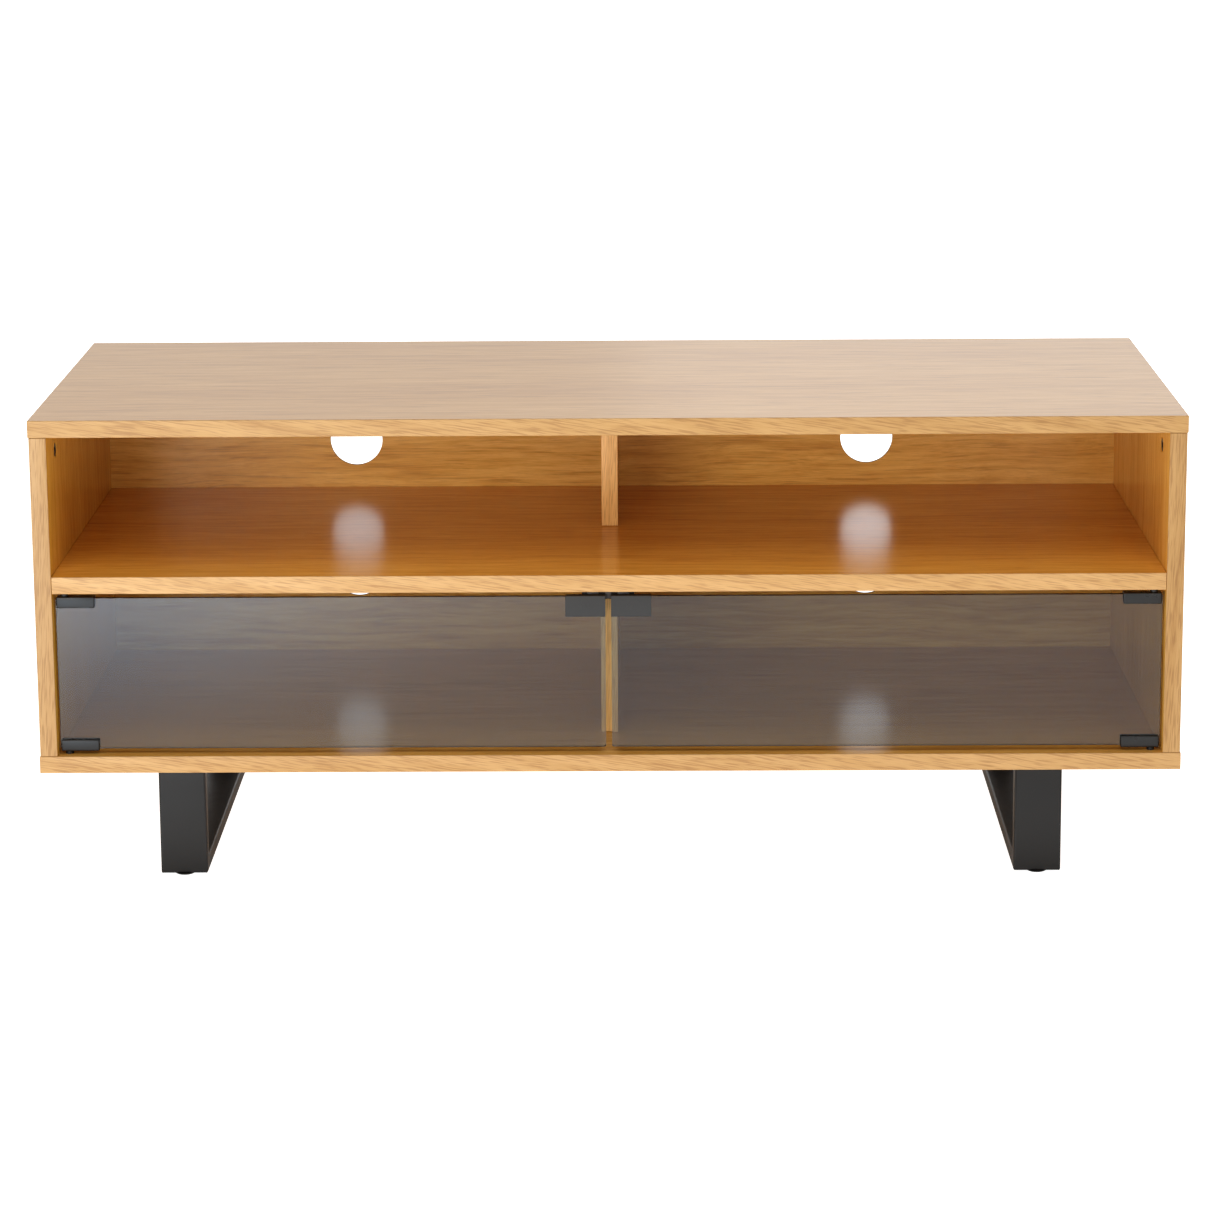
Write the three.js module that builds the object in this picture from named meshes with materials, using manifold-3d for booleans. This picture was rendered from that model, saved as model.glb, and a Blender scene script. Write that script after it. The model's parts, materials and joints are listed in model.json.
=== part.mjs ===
// Media cabinet: oak-effect board carcass on two sled legs, with two smoked-glass doors.
// Millimetres, +Z up. The whole object stands on z = 0 and is centred on x = 0 and y = 0.
// Inside the carcass group, y = 0 is the cabinet's front plane, y grows towards the back,
// and z = 0 is the underside of the bottom panel.

import * as THREE from "three";
import { mergeVertices } from "three/addons/utils/BufferGeometryUtils.js";
import Module from "manifold-3d";

const wasm = await Module();
wasm.setup();

// ---------------------------------------------------------------- driving dimensions

const WIDTH = 1200;
const DEPTH = 450;
const BODY_HEIGHT = 379;
const LEG_HEIGHT = 119;
const GLIDE_HEIGHT = 2;
const BOARD = 18;
const GAP = 0.3;
// How far a cutting solid reaches past the face it opens, and a joined solid into its board.
const PAST = 1;

// Carcass
const PANEL_OVERHANG = 1;
const SHELF_TOP = 212.4;
const BACK_FRONT_FACE = 423.5;
const BACK_THICKNESS = 4;
const GROOVE_DEPTH = 5;
const UPPER_DIVIDER_FRONT = 221;
const LOWER_DIVIDER_FRONT = 84;
const CABLE_HOLE_RADIUS = 30;
const CABLE_HOLE_X = 295;
const CABLE_HOLE_HEIGHTS = [112.5, 268.5];

// Glass doors
const GLASS = 5;
const GLASS_FRONT = 12;
const DOOR_INNER_X = 3.2;
const DOOR_OUTER_X = 579;
const DOOR_BOTTOM = 23.5;
const DOOR_TOP = 186.8;

// Pivot hinges
const PIVOT_X = 570;
const PIVOT_Y = GLASS_FRONT + GLASS / 2;
const CLIP_LENGTH = 40;
const CLIP_HEIGHT = 12;
const CLIP_WEB = 1.7;
const CLIP_FRONT = 9;
const CLIP_BACK = 21;
const CLIP_OUTER_X = DOOR_OUTER_X - 1;
const CLIP_CORNER = 1;
const PIN_RADIUS = 2.5;
const PIN_REACH = 10;
const BUSH_RADIUS = 4;
const BUSH_BORE_RADIUS = 2.7;
const BUSH_DEPTH = 9;
const BUSH_FLOOR = 1;
const CLAMP_SCREW_RADIUS = 2;
const CLAMP_SCREW_X = 552;

// Strike plates on the doors' inner top corners
const STRIKE_INNER_X = 3;
const STRIKE_WIDTH = 42;
const STRIKE_BOTTOM = 165;
const STRIKE_FRONT_SHEET = 0.7;
const STRIKE_BACK_SHEET = 1;

// Push latch under the shelf
const LATCH_WIDTH = 55;
const LATCH_FRONT = 20;
const LATCH_BACK = 76.5;
const LATCH_HEIGHT = 12.5;
const PLUNGER_X = 16;
const PLUNGER_WIDTH = 12;
const PLUNGER_HEIGHT = 7;
const PLUNGER_LENGTH = 26;
const PLUNGER_FLOOR = 1.6;
const PLUNGER_BORE_END = 66;
const SPRING_RADIUS = 2.4;
const SPRING_WIRE_RADIUS = 0.4;
const SPRING_TURNS = 6;
const SPRING_STEPS_PER_TURN = 8;
const LATCH_SCREW_RADIUS = 1.75;
const LATCH_SCREW_HEAD_RADIUS = 3.5;
const LATCH_SCREW_HEAD = 1.7;
const LATCH_SCREW_TAPER = 0.7;
const LATCH_SCREW_SEAT = 3;
const LATCH_SCREW_REACH = 12;

// Leg frames
const LEG_X = 454;
const LEG_WIDTH = 50;
const LEG_FRONT = 25;
const LEG_BAR = 15;
const GLIDE_RADIUS = 11;
const GLIDE_FLAT_RADIUS = 5;
const GLIDE_STEM_RADIUS = 3;
const GLIDE_STEM = 7;
const LEG_SCREW_INSET = 40;
const LEG_SCREW_RADIUS = 3;
const LEG_SCREW_HEAD_RADIUS = 5.5;
const LEG_SCREW_HEAD = 3;
const LEG_SCREW_REACH = 12;

// Carcass fastenings
const FASTENER_Y = 55;
const CAM_RADIUS = 7.5;
const CAM_DEPTH = 12.5;
const CAM_DROP = 24;
const CAM_RECESS_WIDTH = 2;
const CAM_RECESS_LENGTH = 8;
const CAM_RECESS_DEPTH = 3;
const CAM_BOLT_RADIUS = 3.5;
const CAM_BOLT_NECK_RADIUS = 2.5;
const CAM_BOLT_NECK = 5;
const CAM_BOLT_REACH = 10;
const BASE_SCREW_RADIUS = 3.2;
const BASE_SCREW_HEAD_RADIUS = 5;
const BASE_SCREW_HEAD = 4;
const BASE_SCREW_LENGTH = 50;
const DOWEL_RADIUS = 4;
const DOWEL_REACH = 8;
const SHELF_DOWELS = [110, 320];
const UPPER_DIVIDER_DOWELS = [262, 382];
const LOWER_DIVIDER_DOWELS = [140, 360];

// Roundness of small and large round shapes
const FINE = 8;
const ROUND = 16;
const LARGE_ROUND = 32;

// ---------------------------------------------------------------- derived sizes

const innerX = WIDTH / 2 - PANEL_OVERHANG - BOARD;
const outerX = innerX + BOARD;
const topUnderside = BODY_HEIGHT - BOARD;
const shelfUnderside = SHELF_TOP - BOARD;
const backGrooveX = innerX + GROOVE_DEPTH;
const sideCentreX = innerX + BOARD / 2;
const camHeight = topUnderside - CAM_DROP;
const fastenerDepths = [FASTENER_Y, DEPTH - FASTENER_Y];
const legBack = DEPTH - LEG_FRONT;
const legScrewDepths = [LEG_FRONT + LEG_SCREW_INSET, legBack - LEG_SCREW_INSET];
const glideDepths = [LEG_FRONT + LEG_BAR / 2, legBack - LEG_BAR / 2];
const latchScrewInset = (LATCH_BACK - LATCH_FRONT) / 4;
const latchScrewDepths = [LATCH_FRONT + latchScrewInset, LATCH_BACK - latchScrewInset];
const SIDES = [
  { name: "left", sign: -1 },
  { name: "right", sign: 1 },
];
const DEPTH_NAMES = ["front", "rear"];

// ---------------------------------------------------------------- materials

function material(color, roughness, metalness) {
  return new THREE.MeshStandardMaterial({ color, roughness, metalness });
}

const oak = material(0xd8a765, 0.5, 0);
const backOak = material(0xcf9a55, 0.55, 0);
const smokedGlass = material(0x6d6258, 0.05, 0);
smokedGlass.transparent = true;
smokedGlass.opacity = 0.55;
const blackMetal = material(0x2f2d2c, 0.45, 0.6);
const blackPlastic = material(0x26241f, 0.6, 0);
const strikeMetal = material(0x4b4946, 0.45, 0.5);
const plungerPlastic = material(0x5a5552, 0.5, 0);
const legMetal = material(0x3a3634, 0.5, 0.4);
const zinc = material(0xb0b2b4, 0.35, 0.9);

// ---------------------------------------------------------------- solid helpers

// A closed three.js geometry as a solid that can be cut and joined.
function toSolid(geometry) {
  const plain = geometry.clone();
  plain.deleteAttribute("normal");
  plain.deleteAttribute("uv");
  const merged = mergeVertices(plain, 1e-4);
  return new wasm.Manifold(new wasm.Mesh({
    numProp: 3,
    vertProperties: new Float32Array(merged.attributes.position.array),
    triVerts: new Uint32Array(merged.index.array),
  }));
}

function toGeometry(solid) {
  const mesh = solid.getMesh();
  const geometry = new THREE.BufferGeometry();
  const positions = new Float32Array(mesh.vertProperties);
  const corners = new Uint32Array(mesh.triVerts);
  geometry.setAttribute("position", new THREE.BufferAttribute(positions, 3));
  geometry.setIndex(new THREE.BufferAttribute(corners, 1));
  geometry.computeVertexNormals();
  return geometry;
}

// A box given by its low and high corners.
function block(low, high) {
  const size = high.map((value, axis) => value - low[axis]);
  const geometry = new THREE.BoxGeometry(...size);
  geometry.translate(...low.map((value, axis) => value + size[axis] / 2));
  return toSolid(geometry);
}

// The same box on the left (sign -1) or right (sign 1) of the centre plane, with x given outwards.
function sideBlock(sign, nearX, farX, lowY, highY, lowZ, highZ) {
  const [lowX, highX] = sign > 0 ? [nearX, farX] : [-farX, -nearX];
  return block([lowX, lowY, lowZ], [highX, highY, highZ]);
}

// A solid of revolution about +Z from [radius, height] points that start and end on the axis.
function turned(points, segments) {
  const profile = points.map(([radius, height]) => new THREE.Vector2(radius, height));
  const geometry = new THREE.LatheGeometry(profile, segments);
  geometry.rotateX(Math.PI / 2);
  return toSolid(geometry);
}

function rod(radius, low, high, segments) {
  return turned([[0, low], [radius, low], [radius, high], [0, high]], segments);
}

// Turns a shape made along +Z so that it runs along +X or +Y.
const alongX = (solid) => solid.rotate([0, 90, 0]);
const alongY = (solid) => solid.rotate([-90, 0, 0]);

// An outline in the YZ plane, extruded along X from lowX to highX.
function extrudedAlongX(shape, lowX, highX) {
  const options = { depth: highX - lowX, bevelEnabled: false, curveSegments: 4 };
  const geometry = new THREE.ExtrudeGeometry(shape, options);
  // The outline's (u, v) becomes (y, z), and the extrusion becomes +x.
  const turn = new THREE.Matrix4().set(0, 0, 1, lowX, 1, 0, 0, 0, 0, 1, 0, 0, 0, 0, 0, 1);
  geometry.applyMatrix4(turn);
  return toSolid(geometry);
}

function cut(solid, tools) {
  return tools.reduce((result, tool) => result.subtract(tool), solid);
}

function join(solid, others) {
  return others.reduce((result, other) => result.add(other), solid);
}

// ---------------------------------------------------------------- scene graph

const cabinet = new THREE.Group();
const carcass = new THREE.Group();
carcass.position.set(0, -DEPTH / 2, LEG_HEIGHT + GLIDE_HEIGHT);
cabinet.add(carcass);

function addPart(name, solid, look, parent = carcass) {
  const mesh = new THREE.Mesh(toGeometry(solid), look);
  mesh.name = name;
  parent.add(mesh);
  return mesh;
}

// ---------------------------------------------------------------- carcass

// Upright pegs, or holes for them, along the centre plane.
function centreDowels(depths, lowZ, highZ, radius) {
  return depths.map((y) => rod(radius, lowZ, highZ, FINE).translate([0, y, 0]));
}

function backGroove(low, high) {
  const frontY = BACK_FRONT_FACE - GAP;
  const backY = BACK_FRONT_FACE + BACK_THICKNESS + GAP;
  return block([low[0], frontY, low[1]], [high[0], backY, high[1]]);
}

// Upright holes at the same depths on the left and the right.
function pairedHoles(x, depths, radius, lowZ, highZ) {
  return SIDES.flatMap(({ sign }) => depths.map((y) =>
    rod(radius, lowZ, highZ, FINE).translate([sign * x, y, 0])));
}

function fastenerHoles(radius, lowZ, highZ) {
  return pairedHoles(sideCentreX, fastenerDepths, radius, lowZ, highZ);
}

function topPanel() {
  const panel = block([-WIDTH / 2, 0, topUnderside], [WIDTH / 2, DEPTH, BODY_HEIGHT]);
  const open = topUnderside - PAST;
  const boltEnd = topUnderside + CAM_BOLT_REACH + GAP;
  const dowelEnd = topUnderside + DOWEL_REACH + GAP;
  return cut(panel, [
    backGroove([-backGrooveX, open], [backGrooveX, topUnderside + GROOVE_DEPTH]),
    ...fastenerHoles(CAM_BOLT_NECK_RADIUS + GAP, open, boltEnd),
    ...centreDowels(UPPER_DIVIDER_DOWELS, open, dowelEnd, DOWEL_RADIUS + GAP),
  ]);
}

// A blind hole for a bush in a board's face that looks up (direction 1) or down (direction -1).
function bushHole(sign, boardFace, direction) {
  const ends = [boardFace + direction * PAST, boardFace - direction * (BUSH_DEPTH + GAP)];
  const hole = rod(BUSH_RADIUS + GAP, Math.min(...ends), Math.max(...ends), ROUND);
  return hole.translate([sign * PIVOT_X, PIVOT_Y, 0]);
}

function bottomPanel() {
  const panel = block([-WIDTH / 2, 0, 0], [WIDTH / 2, DEPTH, BOARD]);
  return cut(panel, [
    backGroove([-backGrooveX, BOARD - GROOVE_DEPTH], [backGrooveX, BOARD + PAST]),
    ...SIDES.map(({ sign }) => bushHole(sign, BOARD, 1)),
    ...fastenerHoles(BASE_SCREW_RADIUS + GAP, -PAST, BOARD + PAST),
    ...fastenerHoles(BASE_SCREW_HEAD_RADIUS + GAP, -PAST, BASE_SCREW_HEAD + GAP),
    ...centreDowels(LOWER_DIVIDER_DOWELS, BOARD - DOWEL_REACH - GAP, BOARD + PAST, DOWEL_RADIUS + GAP),
    ...pairedHoles(LEG_X, legScrewDepths, LEG_SCREW_RADIUS + GAP, -PAST, LEG_SCREW_REACH + GAP),
  ]);
}

// A rod that enters a side panel's inner face, whose x is 0 for lowX and highX.
function sideRod(sign, radius, lowX, highX, y, z, segments) {
  const placed = alongX(rod(radius, lowX, highX, segments)).translate([innerX, y, z]);
  return sign > 0 ? placed : placed.mirror([1, 0, 0]);
}

function sidePanel(sign) {
  const lowZ = BOARD + GAP;
  const highZ = topUnderside - GAP;
  const panel = sideBlock(sign, innerX, outerX, 0, DEPTH, lowZ, highZ);
  const grooveFront = BACK_FRONT_FACE - GAP;
  const grooveBack = BACK_FRONT_FACE + BACK_THICKNESS + GAP;
  const groove = sideBlock(
    sign, innerX - PAST, backGrooveX, grooveFront, grooveBack, lowZ - PAST, highZ + PAST);
  const dowelHoles = SHELF_DOWELS.map((y) =>
    sideRod(sign, DOWEL_RADIUS + GAP, -PAST, DOWEL_REACH + GAP, y, SHELF_TOP - BOARD / 2, FINE));
  const camHoles = fastenerDepths.map((y) =>
    sideRod(sign, CAM_RADIUS + GAP, -PAST, CAM_DEPTH + GAP, y, camHeight, ROUND));
  return cut(panel, [
    groove,
    ...dowelHoles,
    ...camHoles,
    ...fastenerHoles(CAM_BOLT_RADIUS + GAP, camHeight, highZ + PAST),
    ...fastenerHoles(BASE_SCREW_RADIUS + GAP, lowZ - PAST, BASE_SCREW_LENGTH + GAP),
  ]);
}

function middleShelf() {
  const halfWidth = innerX - GAP;
  const board = block([-halfWidth, 0, shelfUnderside], [halfWidth, BACK_FRONT_FACE - GAP, SHELF_TOP]);
  const dowels = SIDES.flatMap(({ sign }) => SHELF_DOWELS.map((y) =>
    sideRod(sign, DOWEL_RADIUS, -GAP - PAST, DOWEL_REACH, y, SHELF_TOP - BOARD / 2, FINE)));
  const holeRadius = DOWEL_RADIUS + GAP;
  const upperEnd = SHELF_TOP - DOWEL_REACH - GAP;
  const lowerEnd = shelfUnderside + DOWEL_REACH + GAP;
  const screwEnd = shelfUnderside + LATCH_SCREW_REACH + GAP;
  const screwHoles = latchScrewDepths.map((y) =>
    rod(LATCH_SCREW_RADIUS + GAP, shelfUnderside - PAST, screwEnd, FINE).translate([0, y, 0]));
  return cut(join(board, dowels), [
    ...SIDES.map(({ sign }) => bushHole(sign, shelfUnderside, -1)),
    ...centreDowels(UPPER_DIVIDER_DOWELS, upperEnd, SHELF_TOP + PAST, holeRadius),
    ...centreDowels(LOWER_DIVIDER_DOWELS, shelfUnderside - PAST, lowerEnd, holeRadius),
    ...screwHoles,
  ]);
}

// An upright board on the centre plane, with its glued dowels above and below.
function divider(front, bottom, top, dowelDepths) {
  const back = BACK_FRONT_FACE - GAP;
  const board = block([-BOARD / 2, front, bottom + GAP], [BOARD / 2, back, top - GAP]);
  const lower = centreDowels(dowelDepths, bottom - DOWEL_REACH, bottom + PAST, DOWEL_RADIUS);
  const upper = centreDowels(dowelDepths, top - PAST, top + DOWEL_REACH, DOWEL_RADIUS);
  return join(board, [...lower, ...upper]);
}

function backPanel() {
  const halfWidth = backGrooveX - GAP;
  const low = [-halfWidth, BACK_FRONT_FACE, BOARD - GROOVE_DEPTH + GAP];
  const high = [halfWidth, BACK_FRONT_FACE + BACK_THICKNESS, topUnderside + GROOVE_DEPTH - GAP];
  const holes = SIDES.flatMap(({ sign }) => CABLE_HOLE_HEIGHTS.map((z) =>
    alongY(rod(CABLE_HOLE_RADIUS, -PAST, BACK_THICKNESS + PAST, LARGE_ROUND))
      .translate([sign * CABLE_HOLE_X, BACK_FRONT_FACE, z])));
  return cut(block(low, high), holes);
}

addPart("top_panel", topPanel(), oak);
addPart("bottom_panel", bottomPanel(), oak);
for (const { name, sign } of SIDES) {
  addPart(`${name}_side_panel`, sidePanel(sign), oak);
}
addPart("middle_shelf", middleShelf(), oak);
const upperDivider = divider(UPPER_DIVIDER_FRONT, SHELF_TOP, topUnderside, UPPER_DIVIDER_DOWELS);
const lowerDivider = divider(LOWER_DIVIDER_FRONT, BOARD, shelfUnderside, LOWER_DIVIDER_DOWELS);
addPart("upper_divider", upperDivider, oak);
addPart("lower_divider", lowerDivider, oak);
addPart("back_panel", backPanel(), backOak);

// ---------------------------------------------------------------- carcass fastenings

// A cam drum with a cross recess in its face and a slot for the bolt's head.
function camLock() {
  const drum = alongX(rod(CAM_RADIUS, GAP, CAM_DEPTH, ROUND));
  const halfWidth = CAM_RECESS_WIDTH / 2;
  const halfLength = CAM_RECESS_LENGTH / 2;
  const slots = [[halfWidth, halfLength], [halfLength, halfWidth]].map(([y, z]) =>
    block([-PAST, -y, -z], [CAM_RECESS_DEPTH, y, z]));
  const boltSlot = rod(CAM_BOLT_RADIUS + GAP, -CAM_BOLT_RADIUS, CAM_RADIUS + PAST, FINE);
  return cut(drum, [...slots, boltSlot.translate([BOARD / 2, 0, 0])]);
}

// A bolt whose wide head sits in the cam and whose thread holds in the top panel.
function camBolt() {
  const headLow = camHeight - CAM_BOLT_RADIUS + GAP;
  const headHigh = camHeight + CAM_BOLT_NECK_RADIUS;
  const neckHigh = headHigh + CAM_BOLT_NECK;
  const threadLow = topUnderside - GAP;
  return turned([
    [0, headLow],
    [CAM_BOLT_RADIUS, headLow],
    [CAM_BOLT_RADIUS, headHigh],
    [CAM_BOLT_NECK_RADIUS, headHigh],
    [CAM_BOLT_NECK_RADIUS, neckHigh],
    [CAM_BOLT_RADIUS, neckHigh],
    [CAM_BOLT_RADIUS, threadLow],
    [CAM_BOLT_NECK_RADIUS, threadLow],
    [CAM_BOLT_NECK_RADIUS, topUnderside + CAM_BOLT_REACH],
    [0, topUnderside + CAM_BOLT_REACH],
  ], FINE);
}

function baseScrew() {
  return turned([
    [0, GAP],
    [BASE_SCREW_HEAD_RADIUS, GAP],
    [BASE_SCREW_HEAD_RADIUS, BASE_SCREW_HEAD],
    [BASE_SCREW_RADIUS, BASE_SCREW_HEAD],
    [BASE_SCREW_RADIUS, BASE_SCREW_LENGTH],
    [0, BASE_SCREW_LENGTH],
  ], FINE);
}

for (const { name, sign } of SIDES) {
  DEPTH_NAMES.forEach((depthName, index) => {
    const y = fastenerDepths[index];
    const cam = sign > 0 ? camLock() : camLock().mirror([1, 0, 0]);
    addPart(`${name}_${depthName}_cam_lock`, cam, zinc).position.set(sign * innerX, y, camHeight);
    addPart(`${name}_${depthName}_cam_bolt`, camBolt(), zinc).position.set(sign * sideCentreX, y, 0);
    addPart(`${name}_${depthName}_base_screw`, baseScrew(), zinc).position.set(sign * sideCentreX, y, 0);
  });
}

// ---------------------------------------------------------------- doors and their pivot hinges

function pane(sign) {
  const back = GLASS_FRONT + GLASS;
  return sideBlock(sign, DOOR_INNER_X, DOOR_OUTER_X, GLASS_FRONT, back, DOOR_BOTTOM, DOOR_TOP);
}

// The clip's U section with rounded outer corners: (u, v) is (depth, height above the web's outside).
function clipSection() {
  const slotFront = GLASS_FRONT - GAP;
  const slotBack = GLASS_FRONT + GLASS + GAP;
  const section = new THREE.Shape();
  section.moveTo(CLIP_FRONT, CLIP_CORNER);
  section.quadraticCurveTo(CLIP_FRONT, 0, CLIP_FRONT + CLIP_CORNER, 0);
  section.lineTo(CLIP_BACK - CLIP_CORNER, 0);
  section.quadraticCurveTo(CLIP_BACK, 0, CLIP_BACK, CLIP_CORNER);
  section.lineTo(CLIP_BACK, CLIP_HEIGHT);
  section.lineTo(slotBack, CLIP_HEIGHT);
  section.lineTo(slotBack, CLIP_WEB);
  section.lineTo(slotFront, CLIP_WEB);
  section.lineTo(slotFront, CLIP_HEIGHT);
  section.lineTo(CLIP_FRONT, CLIP_HEIGHT);
  section.closePath();
  return section;
}

// Lower right clip, with its web on z = 0. The other three are mirror images.
function hingeClip() {
  const clip = extrudedAlongX(clipSection(), CLIP_OUTER_X - CLIP_LENGTH, CLIP_OUTER_X);
  const pinHole = rod(PIN_RADIUS + GAP, -PAST, CLIP_WEB + PAST, ROUND);
  const screwHole = alongY(rod(CLAMP_SCREW_RADIUS + GAP, GLASS_FRONT + GLASS, CLIP_BACK + PAST, FINE));
  return cut(clip, [
    pinHole.translate([PIVOT_X, PIVOT_Y, 0]),
    screwHole.translate([CLAMP_SCREW_X, 0, CLIP_HEIGHT / 2]),
  ]);
}

function clampScrew() {
  const screw = alongY(rod(CLAMP_SCREW_RADIUS, GLASS_FRONT + GLASS + GAP, CLIP_BACK, FINE));
  return screw.translate([CLAMP_SCREW_X, 0, CLIP_HEIGHT / 2]);
}

// The pin fills the web's hole and reaches out towards the board.
function hingePin() {
  const chamfer = PIN_RADIUS / 5;
  return turned([
    [0, -PIN_REACH],
    [PIN_RADIUS - chamfer, -PIN_REACH],
    [PIN_RADIUS, -PIN_REACH + chamfer],
    [PIN_RADIUS, CLIP_WEB],
    [0, CLIP_WEB],
  ], ROUND).translate([PIVOT_X, PIVOT_Y, 0]);
}

// A blind sleeve in the board, whose collar stops just short of the clip: z = 0 is the web's outside.
function pivotBush(boardFace) {
  const low = -boardFace - BUSH_DEPTH;
  return turned([
    [0, low],
    [BUSH_RADIUS, low],
    [BUSH_RADIUS, -GAP],
    [BUSH_BORE_RADIUS, -GAP],
    [BUSH_BORE_RADIUS, low + BUSH_FLOOR],
    [0, low + BUSH_FLOOR],
  ], ROUND).translate([PIVOT_X, PIVOT_Y, 0]);
}

// The web's outside, and the distance from there to the board that carries the bush.
const lowerWeb = DOOR_BOTTOM - GAP - CLIP_WEB;
const upperWeb = DOOR_TOP + GAP + CLIP_WEB;
const HINGES = [
  { level: "lower", webHeight: lowerWeb, upright: 1, boardDistance: lowerWeb - BOARD },
  { level: "upper", webHeight: upperWeb, upright: -1, boardDistance: shelfUnderside - upperWeb },
];

// Places a lower-right piece at any of the four corners.
function atCorner(solid, sign, upright, webHeight) {
  const turnedOver = upright > 0 ? solid : solid.mirror([0, 0, 1]);
  const sided = sign > 0 ? turnedOver : turnedOver.mirror([1, 0, 0]);
  return sided.translate([0, 0, webHeight]);
}

for (const { name, sign } of SIDES) {
  addPart(`${name}_door_glass`, pane(sign), smokedGlass);
  for (const { level, webHeight, upright, boardDistance } of HINGES) {
    const corner = `${name}_${level}`;
    const place = (solid) => atCorner(solid, sign, upright, webHeight);
    addPart(`${corner}_hinge_clip`, place(hingeClip()), blackMetal);
    addPart(`${corner}_hinge_pin`, place(hingePin()), zinc);
    addPart(`${corner}_clamp_screw`, place(clampScrew()), zinc);
    addPart(`${corner}_pivot_bush`, place(pivotBush(boardDistance)), blackPlastic);
  }
}

// ---------------------------------------------------------------- strike plates

// A folded sheet over the pane's top edge: a front flange, a top web and a thicker back flange.
function strikePlate(sign) {
  const farX = STRIKE_INNER_X + STRIKE_WIDTH;
  const slotFront = GLASS_FRONT - GAP;
  const slotBack = GLASS_FRONT + GLASS + GAP;
  const slotTop = DOOR_TOP + GAP;
  const front = slotFront - STRIKE_FRONT_SHEET;
  const back = slotBack + STRIKE_BACK_SHEET;
  const top = slotTop + STRIKE_FRONT_SHEET;
  const plate = sideBlock(sign, STRIKE_INNER_X, farX, front, back, STRIKE_BOTTOM, top);
  const slotNearX = STRIKE_INNER_X - PAST;
  const slotBottom = STRIKE_BOTTOM - PAST;
  return plate.subtract(sideBlock(sign, slotNearX, farX + PAST, slotFront, slotBack, slotBottom, slotTop));
}

for (const { name, sign } of SIDES) {
  addPart(`${name}_strike_plate`, strikePlate(sign), strikeMetal);
}

// ---------------------------------------------------------------- push latch

const latchTop = shelfUnderside - GAP;
const latchBottom = latchTop - LATCH_HEIGHT;
const plungerBottom = latchBottom + PLUNGER_FLOOR;
const plungerHeight = plungerBottom + PLUNGER_HEIGHT / 2;
const plungerFront = GLASS_FRONT + GLASS + 2 * GAP + STRIKE_BACK_SHEET;
const plungerBack = plungerFront + PLUNGER_LENGTH;
const springFront = plungerBack + GAP;
const springBack = PLUNGER_BORE_END - GAP;

function latchHousing() {
  const halfWidth = LATCH_WIDTH / 2;
  const box = block([-halfWidth, LATCH_FRONT, latchBottom], [halfWidth, LATCH_BACK, latchTop]);
  const bores = SIDES.map(({ sign }) => sideBlock(
    sign,
    PLUNGER_X - PLUNGER_WIDTH / 2 - GAP,
    PLUNGER_X + PLUNGER_WIDTH / 2 + GAP,
    LATCH_FRONT - PAST,
    PLUNGER_BORE_END,
    plungerBottom - GAP,
    plungerBottom + PLUNGER_HEIGHT + GAP,
  ));
  const open = latchBottom - PAST;
  const screwHoles = latchScrewDepths.flatMap((y) => [
    rod(LATCH_SCREW_RADIUS + GAP, open, latchTop + PAST, FINE),
    rod(LATCH_SCREW_HEAD_RADIUS + GAP, open, latchBottom + LATCH_SCREW_SEAT, FINE),
  ].map((hole) => hole.translate([0, y, 0])));
  return cut(box, [...bores, ...screwHoles]);
}

function latchPlunger(sign) {
  return sideBlock(
    sign,
    PLUNGER_X - PLUNGER_WIDTH / 2,
    PLUNGER_X + PLUNGER_WIDTH / 2,
    plungerFront,
    plungerBack,
    plungerBottom,
    plungerBottom + PLUNGER_HEIGHT,
  );
}

// A round wire wound about +Y between the plunger's back and the bore's end.
class SpringCurve extends THREE.Curve {
  getPoint(t, target = new THREE.Vector3()) {
    const angle = 2 * Math.PI * SPRING_TURNS * t;
    const low = springFront + SPRING_WIRE_RADIUS;
    const high = springBack - SPRING_WIRE_RADIUS;
    return target.set(
      SPRING_RADIUS * Math.cos(angle),
      low + (high - low) * t,
      SPRING_RADIUS * Math.sin(angle),
    );
  }
}

function latchSpring() {
  const wire = new THREE.Shape();
  wire.absarc(0, 0, SPRING_WIRE_RADIUS, 0, 2 * Math.PI);
  const steps = SPRING_TURNS * SPRING_STEPS_PER_TURN;
  const options = { extrudePath: new SpringCurve(), steps, curveSegments: 3 };
  return toSolid(new THREE.ExtrudeGeometry(wire, options));
}

function latchScrew() {
  const headLow = latchBottom + GAP;
  const headHigh = headLow + LATCH_SCREW_HEAD;
  return turned([
    [0, headLow],
    [LATCH_SCREW_HEAD_RADIUS, headLow],
    [LATCH_SCREW_HEAD_RADIUS, headHigh],
    [LATCH_SCREW_RADIUS, headHigh + LATCH_SCREW_TAPER],
    [LATCH_SCREW_RADIUS, shelfUnderside + LATCH_SCREW_REACH],
    [0, shelfUnderside + LATCH_SCREW_REACH],
  ], FINE);
}

addPart("latch_housing", latchHousing(), blackPlastic);
for (const { name, sign } of SIDES) {
  addPart(`${name}_latch_plunger`, latchPlunger(sign), plungerPlastic);
  addPart(`${name}_latch_spring`, latchSpring(), zinc).position.set(sign * PLUNGER_X, 0, plungerHeight);
}
latchScrewDepths.forEach((y, index) => {
  addPart(`${DEPTH_NAMES[index]}_latch_screw`, latchScrew(), zinc).position.set(0, y, 0);
});

// ---------------------------------------------------------------- leg frames

function rectangle(path, low, high) {
  path.moveTo(low[0], low[1]);
  path.lineTo(high[0], low[1]);
  path.lineTo(high[0], high[1]);
  path.lineTo(low[0], high[1]);
  path.closePath();
  return path;
}

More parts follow.
